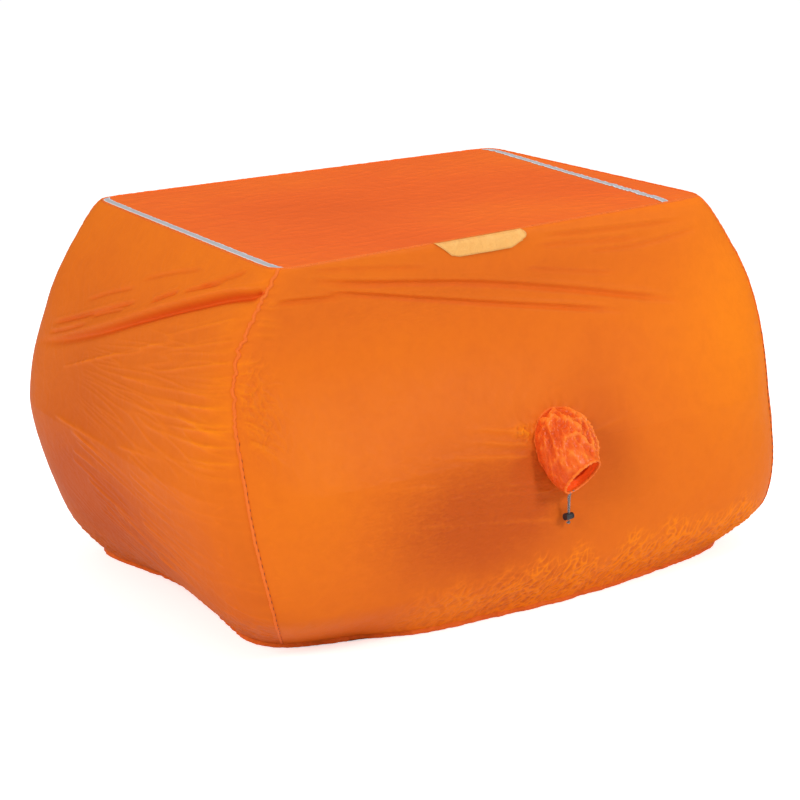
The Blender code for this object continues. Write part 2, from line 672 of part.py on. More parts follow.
# ---------------------------------------------------------------- vents
def vent(prefix, side, panel):
    """A hole in the panel, the seam round it, and a sleeve that hangs from the seam to a narrower mouth."""
    half = half_size(side, VENT_HEIGHT)
    share = VENT_OFFSET / half
    centre = wall_point(side, share, VENT_HEIGHT)
    out = wall_out(side, share, VENT_HEIGHT)
    right = UP.cross(out)

    hole = cylinder(prefix + "_hole", VENT_RADIUS, -HOLE_REACH, HOLE_REACH, 2 * SLEEVE_SIDES)
    cut(panel, cutter_of(prefix + "_hole", hole, frame_of(centre, right, UP, out)))

    turns = [2 * math.pi * k / SLEEVE_SIDES for k in range(SLEEVE_SIDES)]
    ring_radius = VENT_RADIUS - 2 * GAP - SEAM_RADIUS

    def on_wall(angle, radius):
        across, height = radius * math.cos(angle), VENT_HEIGHT + radius * math.sin(angle)
        rise = wall_point(side, share + across / half, height) - centre
        return centre + right * across + UP * rise.z + out * (rise.dot(out) - CLOTH / 2)

    seam = [on_wall(a, ring_radius) for a in turns]
    ring_tube(prefix + "_base_seam", seam, SEAM_RADIUS, SEAM_ORANGE)

    # The sleeve's rings go from the seam's circle to the mouth's oval.
    mouth_out = out * math.cos(MOUTH_TILT) - UP * math.sin(MOUTH_TILT)
    mouth_out = Matrix.Rotation(MOUTH_TURN, 3, UP) @ mouth_out
    mouth_right = right - mouth_out * right.dot(mouth_out)
    mouth_right = Matrix.Rotation(MOUTH_ROLL, 3, mouth_out) @ mouth_right.normalized()
    mouth_up = mouth_out.cross(mouth_right)
    if mouth_up.z < 0:
        mouth_up = -mouth_up
    mouth_at = centre + out * SLEEVE_REACH - UP * SLEEVE_FALL

    def on_mouth(angle, back=0.0):
        x, y = math.cos(angle) * MOUTH_LENGTH / 2, math.sin(angle) * MOUTH_WIDTH / 2
        return mouth_at + mouth_right * x + mouth_up * y - mouth_out * back

    rings = []
    for k in range(SLEEVE_RINGS + 1):
        ring = []
        for angle, root in zip(turns, seam):
            end = on_mouth(angle, MOUTH_HEM_HEIGHT + GAP + FACET)
            first = root + out * SEAM_ROOM
            handle = (end - first).length * SLEEVE_HANDLE
            ring.append(bezier(first, first + out * handle, end - mouth_out * handle, end, SLEEVE_RINGS)[k])
        rings.append(ring)
    top = max(rings[0], key=lambda p: p.z)
    hinge_at = Vector((centre.x, centre.y, top.z + GAP)) + out * (top - centre).dot(out)
    hinge = anchor(prefix + "_hinge", hinge_at)
    sleeve = add(prefix + "_sleeve", grid(prefix + "_sleeve", rings, closed=True), SLEEVE_ORANGE, hinge)
    thicken(sleeve, SLEEVE_CLOTH)

    stations = []
    for angle in turns:
        p = on_mouth(angle)
        ahead, behind = on_mouth(angle + MOUTH_STEP), on_mouth(angle - MOUTH_STEP)
        away = (ahead - behind).cross(mouth_out).normalized()
        if away.dot(p - mouth_at) < 0:
            away = -away
        stations.append((p, away, -mouth_out))
    mouth = channel(prefix + "_mouth_hem", stations, MOUTH_HEM_HEIGHT, SLEEVE_ORANGE, hinge)
    i = round(EXIT_ANGLE / (2 * math.pi) * SLEEVE_SIDES)
    exit_slot(mouth, stations, i, 1)
    p, away, _ = stations[i]
    tail_start = cord_line(stations[i]) + away * TAIL_SWING - UP * TAIL_DROP
    drawcord(prefix + "_drawcord", stations, i, 1, tail_start, -UP, out, CORD_GREY, hinge)
    cord_end(prefix, tail_start, -UP, out, hinge)


# ---------------------------------------------------------------- the whole shelter
for old in list(bpy.data.objects):
    bpy.data.objects.remove(old)
PARTS = collection("group_shelter")
CUTTERS = collection("cutters")
CUTTERS.hide_render = True

front_wall = wall("front", "front_wall")
back_wall = wall("back", "back_wall")
wall("left", "left_end_wall")
wall("right", "right_end_wall")
roof()
roof_seams()
corner_seams()
reflective_tapes()
label_patch()
hem()
seats()
vent("front_vent", "front", front_wall)
vent("back_vent", "back", back_wall)
bpy.context.view_layer.update()
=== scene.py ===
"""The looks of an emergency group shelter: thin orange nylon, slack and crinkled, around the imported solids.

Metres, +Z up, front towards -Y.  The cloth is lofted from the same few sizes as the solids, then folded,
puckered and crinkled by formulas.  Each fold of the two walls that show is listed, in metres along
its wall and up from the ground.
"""

import math

import bmesh
import bpy
import numpy as np
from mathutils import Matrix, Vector


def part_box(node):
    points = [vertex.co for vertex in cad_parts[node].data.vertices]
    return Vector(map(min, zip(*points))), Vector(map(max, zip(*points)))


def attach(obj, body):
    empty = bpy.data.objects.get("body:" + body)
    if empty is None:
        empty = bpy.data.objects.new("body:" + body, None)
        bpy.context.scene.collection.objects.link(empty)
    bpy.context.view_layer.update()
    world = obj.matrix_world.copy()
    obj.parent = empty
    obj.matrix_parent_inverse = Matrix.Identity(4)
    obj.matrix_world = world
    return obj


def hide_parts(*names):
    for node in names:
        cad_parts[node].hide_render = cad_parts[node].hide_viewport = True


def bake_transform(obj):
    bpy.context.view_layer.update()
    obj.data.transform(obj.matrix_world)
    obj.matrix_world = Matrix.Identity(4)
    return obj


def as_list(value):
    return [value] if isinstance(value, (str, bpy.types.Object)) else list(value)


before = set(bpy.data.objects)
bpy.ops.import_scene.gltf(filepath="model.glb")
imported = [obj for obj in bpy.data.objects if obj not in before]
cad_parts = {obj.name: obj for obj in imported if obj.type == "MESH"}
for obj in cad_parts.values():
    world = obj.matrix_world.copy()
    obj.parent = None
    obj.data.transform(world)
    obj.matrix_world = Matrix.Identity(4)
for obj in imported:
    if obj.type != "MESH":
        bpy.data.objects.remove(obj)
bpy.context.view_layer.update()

# ---------------------------------------------------------------- sizes shared with the solids
HEIGHT = 0.95
LEVELS = (0.0, 0.15, 0.45, 0.75, 1.0)
LENGTHS = (1.28, 1.48, 1.55, 1.49, 1.29)
WIDTHS = (0.9, 1.03, 1.09, 0.95, 0.89)
CORNERS = {
    "front_left": (-1, -1, (-0.015, 0.0, 0.02, 0.015, 0.04), (-0.04, 0.05, 0.0, -0.035, 0.06)),
    "front_right": (1, -1, (0.015, 0.03, 0.02, 0.015, 0.0), (0.04, 0.065, 0.0, 0.02, -0.015)),
    "back_right": (1, 1, (0.01, -0.03, -0.03, -0.03, -0.025), (-0.03, -0.03, 0.0, 0.025, -0.02)),
    "back_left": (-1, 1, (-0.015, -0.02, -0.005, 0.005, -0.01), (-0.03, -0.06, 0.0, -0.01, -0.025)),
}
SHARPNESS_LOW, SHARPNESS_ROOF = 7.3, 24.0
SHOULDER_OUT, SHOULDER_DROP = 0.014, 0.067
FOOT_KICK = {"front": 0.075, "right": 0.0, "back": 0.02, "left": -0.075}
KICK_HEIGHT = 0.28
HEM_HEIGHT, WALL_FOOT, SHOULDER_ROWS = 0.02, 0.012, 26
TAPE_WIDTH = 0.025
RIGHT_TAPE_INSET = 0.11
PATCH_LENGTH, PATCH_DROP, PATCH_OFFSET = 0.28, 0.04, -0.09
VENT_OFFSET, VENT_HEIGHT, VENT_RADIUS = 0.06, 0.43, 0.086
CLOTH, SEAM_RADIUS, GAP = 0.002, 0.003, 0.0003
SLEEVE_ROOT = VENT_RADIUS - 2 * GAP - SEAM_RADIUS
SLEEVE_REACH, SLEEVE_FALL, SLEEVE_LENGTH = 0.084, 0.066, 0.13
MOUTH_LENGTH, MOUTH_WIDTH, MOUTH_HEM = 0.118, 0.1, 0.014
MOUTH_TILT, MOUTH_TURN, MOUTH_ROLL = math.radians(32), math.radians(14), math.radians(26)
CORD, LINING = 0.0036, 0.001
LEAF, CHANNEL = 0.0015, 0.005
STRAND = CORD / 2 + GAP
CORD_BEND, SWING_HANDLE = 0.0075, 0.4
TAIL_STRAIGHT, TAIL_SWING, TAIL_DROP, HEM_TAIL_SWING = 0.048, 0.013, 0.016, 0.032
EXIT_ANGLE = math.radians(231)
LOCK_RADIUS, KNOT_RADIUS = 0.009, 0.0055
# How many columns and steps the solids have where a cord leaves them
SLEEVE_SIDES, RIGHT_COLUMNS, SWING_STEPS, TAIL_STEPS = 28, 12, 8, 4
CORD_TURN = (0, 30, 60)
MOUTH_STEP = 0.01

# The grids that pieces are made of
ROOF_GRID, SLEEVE_GRID, ROLL_GRID = (320, 230), (180, 320), (320, 20)
TAPE_GRID, PATCH_GRID, PANEL_GRID = (260, 13), (200, 36), (160, 60)
HEM_COLUMNS = {"front": 520, "right": 330, "back": 520, "left": 330}
CORNER_ROWS, ROOF_SEAM_POINTS, VENT_SEAM_POINTS, STRAND_SIDES = 420, 360, 260, 14
CORNER_STITCH = {"spacing": 0.019, "long": 0.012, "wide": 0.0013}
PATCH_STITCH = {"spacing": 0.0036, "long": 0.0022, "wide": 0.0004}
LOCK_ROUNDING = 0.0005

UP = np.array((0, 0, 1.0))
SQUARE_OUT = {"front": (0, -1, 0), "right": (1, 0, 0), "back": (0, 1, 0), "left": (-1, 0, 0)}
ENDS = {  # the corners that a wall runs between, anticlockwise
    "front": ("front_left", "front_right"), "right": ("front_right", "back_right"),
    "back": ("back_right", "back_left"), "left": ("back_left", "front_left"),
}

# ---------------------------------------------------------------- camera, floor and light
LENS, SENSOR = 99.0, 36.0
CAMERA_TURN, CAMERA_RISE, CAMERA_AWAY = math.radians(-35), math.radians(16.3), 5.83
LOOK_AT = Vector((-0.0265, 0, 0.45))
SHIFT = (0.0125, -0.02)
PALE = (0.98, 0.98, 0.98)
FLOOR_GLOW, ROOM_LIGHT, ROOM_SHINE = 0.58, 0.44, 0.04
WHITE = (1, 1, 1, 1)
FLOOR_SIZE = 60
LAMPS = (  # name, place, size, power and whether the cloth mirrors it
    ("key", (2.4, -4.4, 3.6), 1.4, 108, True), ("fill", (-5.2, -1.9, 3.4), 2.4, 138, False),
    ("top", (0.6, 0.6, 4.6), 2.4, 68, False),
)


def add_camera():
    data = bpy.data.cameras.new("camera")
    data.lens, data.sensor_width = LENS, SENSOR
    data.shift_x, data.shift_y = SHIFT
    camera = bpy.data.objects.new("camera", data)
    flat = math.cos(CAMERA_RISE)
    back = Vector((math.sin(CAMERA_TURN) * flat, -math.cos(CAMERA_TURN) * flat, math.sin(CAMERA_RISE)))
    camera.location = LOOK_AT + back * CAMERA_AWAY
    camera.rotation_euler = (-back).to_track_quat("-Z", "Y").to_euler()
    bpy.context.scene.collection.objects.link(camera)
    bpy.context.scene.camera = camera
    bpy.context.scene.view_settings.view_transform = "Standard"


def add_light(name, place, size, power, mirrored, look_at=(0, 0, 0.4)):
    data = bpy.data.lights.new(name, "AREA")
    data.shape, data.size, data.energy = "DISK", size, power
    lamp = bpy.data.objects.new(name, data)
    lamp.location = place
    lamp.visible_glossy = mirrored
    lamp.rotation_euler = (Vector(look_at) - Vector(place)).to_track_quat("-Z", "Y").to_euler()
    bpy.context.scene.collection.objects.link(lamp)


def add_studio():
    """A pale floor, a pale room that looks white to the camera, and soft light from the front right."""
    bpy.ops.mesh.primitive_plane_add(size=FLOOR_SIZE)
    floor = bpy.context.object
    floor.name = "floor"
    n = Nodes("floor")
    seen = n.add("LightPath").outputs["Is Camera Ray"]
    floor.data.materials.append(n.shade({
        "Base Color": (*PALE, 1), "Roughness": 0.9, "Specular IOR Level": 0.0,
        "Emission Color": WHITE, "Emission Strength": n.math("MULTIPLY", seen, FLOOR_GLOW),
    }))

    world = bpy.context.scene.world or bpy.data.worlds.new("world")
    bpy.context.scene.world = world
    world.use_nodes = True
    tree = world.node_tree
    tree.nodes.clear()
    path = tree.nodes.new("ShaderNodeLightPath")

    def background(colour, strength):
        node = tree.nodes.new("ShaderNodeBackground")
        node.inputs["Color"].default_value = colour
        node.inputs["Strength"].default_value = strength
        return node.outputs[0]

    def where(ray, otherwise, then):
        node = tree.nodes.new("ShaderNodeMixShader")
        for socket, source in zip(node.inputs, (path.outputs[ray], otherwise, then)):
            tree.links.new(source, socket)
        return node.outputs[0]

    room = background((1.0, 0.985, 0.97, 1), ROOM_LIGHT)
    room = where("Is Glossy Ray", room, background(WHITE, ROOM_SHINE))
    room = where("Is Camera Ray", room, background(WHITE, 1))
    tree.links.new(room, tree.nodes.new("ShaderNodeOutputWorld").inputs["Surface"])
    for lamp in LAMPS:
        add_light(*lamp)


# ---------------------------------------------------------------- noise and small maths
def smoothstep(low, high, x):
    t = np.clip((x - low) / (high - low), 0, 1)
    return t * t * (3 - 2 * t)


def unit(vectors):
    return vectors / np.linalg.norm(vectors, axis=-1, keepdims=True)


def run_of(path):
    """How far along a path each of its points is."""
    return np.concatenate([[0], np.cumsum(np.linalg.norm(np.diff(path, axis=0), axis=1))])


def bezier(start, pull_out, pull_in, end, k):
    return start * (1 - k) ** 3 + pull_out * 3 * k * (1 - k) ** 2 + pull_in * 3 * k * k * (1 - k) + end * k**3


def noise(x, y, seed):
    """Smooth gradient noise, from about -1 to 1, one cell per unit."""
    table = np.random.default_rng(seed).uniform(0, 2 * np.pi, (256, 256))
    xi, yi = np.floor(x).astype(int), np.floor(y).astype(int)
    xf, yf = x - xi, y - yi

    def pull(i, j):
        angle = table[(xi + i) & 255, (yi + j) & 255]
        return np.cos(angle) * (xf - i) + np.sin(angle) * (yf - j)

    u, v = (t * t * t * (t * (t * 6 - 15) + 10) for t in (xf, yf))
    low = pull(0, 0) * (1 - u) + pull(1, 0) * u
    high = pull(0, 1) * (1 - u) + pull(1, 1) * u
    return 1.5 * (low * (1 - v) + high * v)


def wave(x, size, seed):
    """Noise along one line, in steps of about size."""
    return noise(x / size, x * 0, seed)


def ridges(x, y, seed, sharpness=2.0):
    """Noise folded into narrow crests, 0 to 1, as creased cloth has."""
    return np.clip(1 - np.abs(noise(x, y, seed)) * 1.6, 0, 1) ** sharpness


def crumple(x, y, size, seed, octaves=3):
    """Creases of a few sizes that cross at random, about -0.5 to 0.5."""
    total, share = 0.0, 1.0
    for k in range(octaves):
        bend = 0.35 * noise(x / size * 0.7, y / size * 0.7, seed + 50 + k)
        total += share * (ridges(x / size + bend, y / size - bend, seed + k) - 0.35)
        size, share = size * 0.52, share * 0.5
    return total


def streaks(x, y, angle, length, width, seed, sharpness=2.0):
    """Long thin folds that run along angle."""
    c, s = math.cos(angle), math.sin(angle)
    along, across = (x * c + y * s) / length, (y * c - x * s) / width
    bend = 0.6 * noise(along * 0.8, across * 0.25, seed + 9)
    return ridges(along, across + bend, seed, sharpness) - 0.3


def radiate(x, z, centre, spacing, length, seed, sharpness=3.0):
    """Long thin folds that spread from a far point, spacing in radians apart."""
    away, turn = np.hypot(x - centre[0], z - centre[1]), np.arctan2(z - centre[1], centre[0] - x)
    bend = 0.5 * noise(away / 0.22, turn / (2.5 * spacing), seed + 9)
    return ridges(away / length, turn / spacing + bend, seed, sharpness) - 0.3


def blob(x, y, centre, reach):
    """A soft round mask, 1 in its middle."""
    return np.exp(-(((x - centre[0]) / reach[0]) ** 2) - ((y - centre[1]) / reach[1]) ** 2)


def blobs(x, y, places):
    return sum(gain * blob(x, y, centre, reach) for gain, centre, reach in places)


def smooth_curve(x, xs, ys):
    """The value at x of a smooth curve through the points (xs, ys)."""
    xs, ys = np.asarray(xs, float), np.asarray(ys, float)
    slopes = np.empty(len(xs))
    slopes[1:-1] = (ys[2:] - ys[:-2]) / (xs[2:] - xs[:-2])
    slopes[0], slopes[-1] = (ys[1] - ys[0]) / (xs[1] - xs[0]), (ys[-1] - ys[-2]) / (xs[-1] - xs[-2])
    i = np.clip(np.searchsorted(xs, x, side="right") - 1, 0, len(xs) - 2)
    h = xs[i + 1] - xs[i]
    t = (x - xs[i]) / h
    return (
        (2 * t**3 - 3 * t**2 + 1) * ys[i] + (t**3 - 2 * t**2 + t) * h * slopes[i]
        + (3 * t**2 - 2 * t**3) * ys[i + 1] + (t**3 - t**2) * h * slopes[i + 1]
    )


def fold(x, z, line, depth, width, lip=0.5):
    """A valley along a line of (x, z) points, with a lip of cloth over it.  It fades out at both ends."""
    line = sorted(line)
    xs, zs = zip(*line)
    at = smooth_curve(np.clip(x, xs[0], xs[-1]), xs, zs)
    slope = (zs[-1] - zs[0]) / (xs[-1] - xs[0])
    away = (z - at) / math.sqrt(1 + slope * slope) / width
    reach = 0.18 * (xs[-1] - xs[0])
    fade = smoothstep(xs[0], xs[0] + reach, x) * smoothstep(-xs[-1], -xs[-1] + reach, -x)
    valley = np.exp(-away * away)
    crest = np.exp(-((away - 1.7) / 1.1) ** 2)
    return depth * fade * (lip * crest - valley)


# ---------------------------------------------------------------- the shelter's shape
def corner_point(corner, z):
    sx, sy, slack_x, slack_y = CORNERS[corner]
    z = np.asarray(z, float)
    below = np.clip((HEIGHT - z) / SHOULDER_DROP, 0, 1)
    step = SHOULDER_OUT * np.sqrt(np.clip(1 - (1 - below) ** 2, 0, 1))
    x, y = (
        smooth_curve(z / HEIGHT, LEVELS, [size / 2 + slack for size, slack in zip(sizes, slacks)]) + step
        for sizes, slacks in ((LENGTHS, slack_x), (WIDTHS, slack_y))
    )
    return np.stack([sx * x, sy * y, z], -1)


def between_corners(u, v, z):
    """Points at u and v, each from -1 to 1, between the lines of the four corners at height z."""
    weights = ((1 - u) * (1 - v), (1 + u) * (1 - v), (1 + u) * (1 + v), (1 - u) * (1 + v))
    return sum(corner_point(c, z) * (w / 4)[..., None] for c, w in zip(CORNERS, weights))


def wall_point(side, t, z):
    """Points of a wall's outer face, with t from -1 to 1 anticlockwise between its corner seams."""
    t, z = np.broadcast_arrays(np.asarray(t, float), np.asarray(z, float))
    belly = LEVELS[2] * HEIGHT
    rise = np.clip((z - belly) / (HEIGHT - belly), 0, 1)
    n = SHARPNESS_LOW + (SHARPNESS_ROOF - SHARPNESS_LOW) * rise
    out = (2 - np.abs(t) ** n) ** (1 / n)
    u, v = {"front": (t, -out), "right": (out, t), "back": (-t, out), "left": (-out, -t)}[side]
    kick = FOOT_KICK[side] * np.clip(1 - z / KICK_HEIGHT, 0, 1) ** 2 * (1 - t * t) ** 2
    return between_corners(u, v, z) + np.array(SQUARE_OUT[side]) * kick[..., None]


def wall_out(side, t, z):
    """The horizontal way out of a wall."""
    step = 0.004
    along = wall_point(side, np.minimum(t + step, 1), z) - wall_point(side, np.maximum(t - step, -1), z)
    return unit(np.stack([along[..., 1], -along[..., 0], np.zeros(along.shape[:-1])], -1))


def half_size(side, z):
    return float(np.linalg.norm(wall_point(side, 1, z) - wall_point(side, -1, z)) / 2)


def spread(count, gather=0.6):
    """count + 1 places from -1 to 1, closer together towards both ends."""
    s = np.linspace(-1, 1, count + 1)
    return (1 - gather) * s + gather * np.sin(s * np.pi / 2)


def wall_heights(low, rows, shoulder_rows):
    foot = HEIGHT - SHOULDER_DROP
    angles = np.linspace(np.pi / 2, 0, shoulder_rows + 1)[1:]
    return np.concatenate([np.linspace(low, foot, rows + 1), HEIGHT - SHOULDER_DROP * (1 - np.cos(angles))])


# ---------------------------------------------------------------- meshes
def mesh_from(name, points, faces, uvs=None, tones=None, smooth=True):
    """A mesh of the points that faces use.  uvs are in metres, and tones are (painted light, painted crease
    shade, crinkle).
    """
    points = np.reshape(points, (-1, 3))
    used, corners = np.unique(faces, return_inverse=True)
    corners = corners.ravel()
    data = bpy.data.meshes.new(name)
    data.vertices.add(len(used))
    data.vertices.foreach_set("co", points[used].ravel())
    data.loops.add(faces.size)
    data.loops.foreach_set("vertex_index", corners)
    data.polygons.add(len(faces))
    data.polygons.foreach_set("loop_start", np.arange(0, faces.size, faces.shape[1]))
    data.polygons.foreach_set("use_smooth", np.full(len(faces), smooth))
    data.update(calc_edges=True)
    if uvs is not None:
        layer = data.uv_layers.new(name="metres")
        layer.data.foreach_set("uv", np.reshape(uvs, (-1, 2))[used[corners]].ravel())
    if tones is not None:
        tones = np.broadcast_to(np.reshape(tones, (-1, 3)), points.shape)[used]
        layer = data.color_attributes.new("cloth", "FLOAT_COLOR", "POINT")
        layer.data.foreach_set("color", np.insert(tones, 3, 1, axis=1).ravel())
    data.validate()
    node = bpy.data.objects.new(name, data)
    bpy.context.scene.collection.objects.link(node)
    return node


def grid_faces(rows, columns, closed=False, ring=False, keep=None):
    """The faces between a grid's points.  closed joins its last column to its first, and ring its rows."""
    i, j = np.meshgrid(np.arange(rows - (not ring)), np.arange(columns - (not closed)), indexing="ij")
    here, there, k = i * columns, (i + 1) % rows * columns, (j + 1) % columns
    faces = np.stack([here + j, here + k, there + k, there + j], -1).reshape(-1, 4)
    return faces if keep is None else faces[keep[faces].all(1)]


def normals_of(points):
    """Unit normals of a grid of points, from its rows and columns."""
    along, up = np.gradient(points, axis=1), np.gradient(points, axis=0)
    normal = np.cross(along, up)
    return normal / np.maximum(np.linalg.norm(normal, axis=-1, keepdims=True), 1e-12)


def frames_along(path, closed=False):
    return unit(np.roll(path, -1, 0) - np.roll(path, 1, 0) if closed else np.gradient(path, axis=0))


def swept(name, path, out, section, closed=False, tones=(0.5, 0, 0.5)):
    """A tube along path.  section(i) gives outline points as (outwards, sideways), and out is outwards."""
    along = frames_along(path, closed)
    out = unit(out - along * (out * along).sum(-1, keepdims=True))
    across = np.cross(along, out)
    outlines = np.stack([section(i) for i in range(len(path))])
    points = path[:, None] + outlines[..., :1] * out[:, None] + outlines[..., 1:] * across[:, None]
    length = run_of(path)
    around = np.linspace(0, 1, outlines.shape[1], endpoint=False)
    uvs = np.stack(np.broadcast_arrays(around, length[:, None]), -1)
    if closed:
        points = np.concatenate([points, points[:1]])
        uvs = np.concatenate([uvs, uvs[:1] + (0, length[-1] + np.linalg.norm(path[0] - path[-1]))])
    return mesh_from(name, points, grid_faces(*points.shape[:2], closed=True)[:, ::-1], uvs, tones)


def round_section(radius, sides=10, flat=1.0):
    turns = np.linspace(0, 2 * np.pi, sides, endpoint=False)
    return np.stack([radius * flat * np.cos(turns), radius * np.sin(turns)], -1)


# ---------------------------------------------------------------- materials
class Nodes:
    """A short way to build a node tree."""

    def __init__(self, name):
        self.material = bpy.data.materials.new(name)
        self.material.use_nodes = True
        self.tree = self.material.node_tree
        self.shader = self.tree.nodes["Principled BSDF"]

    def add(self, kind, inputs=(), **settings):
        node = self.tree.nodes.new("ShaderNode" + kind)
        for key, value in settings.items():
            setattr(node, key, value)
        self.put(node, dict(inputs))
        return node

    def put(self, node, inputs):
        """Links the sockets among inputs, and sets the numbers and colours on the node's own sockets."""
        for key, value in inputs.items():
            if isinstance(value, bpy.types.NodeSocket):
                self.tree.links.new(value, node.inputs[key])
            else:
                node.inputs[key].default_value = value

    def shade(self, inputs):
        self.put(self.shader, inputs)
        return self.material

    def math(self, operation, a, b=0.0, clamp=False):
        return self.add("Math", {0: a, 1: b}, operation=operation, use_clamp=clamp).outputs[0]

    def apart(self, value, gain, clamp=False, middle=0.5):
        """gain times how far value is over middle."""
        return self.math("MULTIPLY", self.math("SUBTRACT", value, middle), gain, clamp)

    def mix(self, share, a, b):
        a, b = (c if isinstance(c, bpy.types.NodeSocket) else (*c, 1) for c in (a, b))
        return self.add("Mix", {"Factor": share, 6: a, 7: b}, data_type="RGBA").outputs[2]

    def noise(self, where, scale, detail=2.0, roughness=0.5, distortion=0.0):
        inputs = {"Scale": scale, "Detail": detail, "Roughness": roughness, "Distortion": distortion}
        return self.add("TexNoise", {"Vector": where, **inputs}).outputs["Fac"]

    def bump(self, height, strength, distance, under=None):
        below = {} if under is None else {"Normal": under}
        inputs = {"Strength": strength, "Distance": distance, "Height": height, **below}
        return self.add("Bump", inputs).outputs["Normal"]

    def place(self):
        return self.add("TexCoord").outputs["Object"]

    def metres(self):
        return self.add("UVMap", uv_map="metres").outputs["UV"]

    def tones(self):
        cloth = self.add("VertexColor", layer_name="cloth").outputs["Color"]
        return self.add("SeparateColor", {"Color": cloth}).outputs[:3]

    def threads(self, scale, distortion=0.0):
        """A plain weave, scale waves to the metre."""
        inputs = {"Scale": scale, "Distortion": distortion, "Vector": self.metres()}
        warp, weft = (self.add("TexWave", inputs, bands_direction=way).outputs["Fac"] for way in "XY")
        return self.math("MULTIPLY", warp, weft)


def nylon(name, base, bright, dark, crease, roughness=0.46, crinkle=1.0, painted_glow=0.0, shine=0.06):
    """Thin coated nylon: painted light where lit through in places, painted shade redder in its creases, a
    fine weave and crinkles.
    """
    n = Nodes(name)
    place = n.place()
    # The cloth attribute holds painted light, painted shade in creases, and how crinkled the cloth is.
    light, crease_shade, rough = n.tones()
    light = n.math("ADD", light, n.apart(n.noise(place, 3.5, 3.0), 0.25))
    # bright is the painted lit-through colour, dark the painted shade and crease the painted crease shade.
    colour = n.mix(n.apart(light, 2.0, True), base, bright)
    colour = n.mix(n.apart(light, -2.0, True), colour, dark)
    colour = n.mix(crease_shade, colour, crease)
    mottle = n.noise(place, 26.0, 4.0, 0.6)
    colour = n.mix(n.apart(mottle, 0.35, True, 0.45), colour, dark)

    small = n.noise(place, 55.0, 4.0, 0.55, 1.2)
    creased = n.math("ABSOLUTE", n.math("SUBTRACT", small, 0.5))
    gain = n.math("MULTIPLY", n.math("ADD", rough, 0.02), crinkle)
    uneven = n.math("ADD", roughness, n.apart(small, 0.25))
    # A painted glow in the crease colour, strongest where the painted crease shade is deepest.
    if painted_glow:
        deep = n.math("ADD", 1.0, n.math("MULTIPLY", n.math("MULTIPLY", crease_shade, crease_shade), 9.0))
        n.shade({"Emission Color": (*crease, 1), "Emission Strength": n.math("MULTIPLY", deep, painted_glow)})
    return n.shade({
        "Base Color": colour, "Specular IOR Level": shine,
        "Roughness": n.math("SUBTRACT", uneven, n.math("MULTIPLY", rough, 0.15)),
        "Normal": n.bump(creased, gain, 0.004, n.bump(n.threads(520.0, 0.4), 0.1, 0.0002)),
    })


def tape_material():
    """Silver reflective tape: a grey middle of tiny beads, paler borders, and a dark line at each edge."""
    n = Nodes("reflective_tape")
    across = n.add("SeparateXYZ", {"Vector": n.metres()}).outputs["X"]
    middle = n.math("ABSOLUTE", n.math("SUBTRACT", across, 0.5))
    beads = n.add("TexVoronoi", {"Scale": 900.0, "Vector": n.place()}).outputs["Distance"]
    colour = n.mix(n.math("MULTIPLY", beads, 0.6), (0.62, 0.63, 0.66), (0.5, 0.51, 0.55))
    for start, tint in ((0.3, (0.84, 0.84, 0.86)), (0.455, (0.42, 0.2, 0.12))):
        colour = n.mix(n.math("GREATER_THAN", middle, start), colour, tint)
    normal = n.bump(beads, 0.3, 0.0004)
    return n.shade({"Base Color": colour, "Metallic": 0.15, "Roughness": 0.35, "Normal": normal})


def patch_material():
    """Plain amber cloth, lighter and darker in blotches, with a darker edge."""
    n = Nodes("patch_cloth")
    blotch = n.noise(n.place(), 40.0, 3.0)
    colour = n.mix(blotch, (0.9, 0.4, 0.075), (0.95, 0.53, 0.15))
    colour = n.mix(n.tones()[1], colour, (0.62, 0.24, 0.04))
    normal = n.bump(blotch, 0.35, 0.004, n.bump(n.threads(420.0), 0.3, 0.0003))
    return n.shade({"Base Color": colour, "Roughness": 0.55, "Normal": normal})


def cord_material():
    """Braided cord: grey with black and white flecks that wind round it both ways."""
    n = Nodes("braided_cord")
    split = n.add("SeparateXYZ", {"Vector": n.metres()})
    turn, along = n.math("MULTIPLY", split.outputs["X"], 4.0), n.math("MULTIPLY", split.outputs["Y"], 160.0)
    left, right = (n.math("FRACT", n.math(way, turn, along)) for way in ("ADD", "SUBTRACT"))
    raised = n.math("MULTIPLY", n.math("PINGPONG", left, 0.5), n.math("PINGPONG", right, 0.5))
    both = n.math("ADD", left, right)
    colour = n.mix(n.math("GREATER_THAN", both, 1.35), (0.12, 0.12, 0.13), (0.7, 0.7, 0.7))
    colour = n.mix(n.math("LESS_THAN", both, 0.62), colour, (0.02, 0.02, 0.022))
    return n.shade({"Base Color": colour, "Roughness": 0.75, "Normal": n.bump(raised, 0.8, 0.0006)})


def plain_material(name, colour, roughness, metallic=0.0, grain=300.0, depth=0.0002, variation=0.15):
    """A plain moulded, woven or drawn surface with a fine grain."""
    n = Nodes(name)
    place = n.place()
    fine, wide = n.noise(place, grain, 3.0), n.noise(place, grain / 12, 2.0)
    dark, bright = ([c * share for c in colour] for share in (1 - variation, 1 + variation))
    return n.shade({
        "Base Color": n.mix(wide, dark, bright), "Roughness": n.math("ADD", n.apart(fine, 0.2), roughness),
        "Metallic": metallic, "Normal": n.bump(fine, 0.35, depth),
    })


# The nylon's own orange, then its painted lit-through colour, its painted shade and its painted crease shade
ORANGE = (0.79, 0.166, 0.012)
PAINTED_LIT_ORANGE = (0.94, 0.235, 0.008)
SHADED = (0.58, 0.098, 0.012)
PAINTED_CREASE_SHADE = (0.77, 0.092, 0.01)


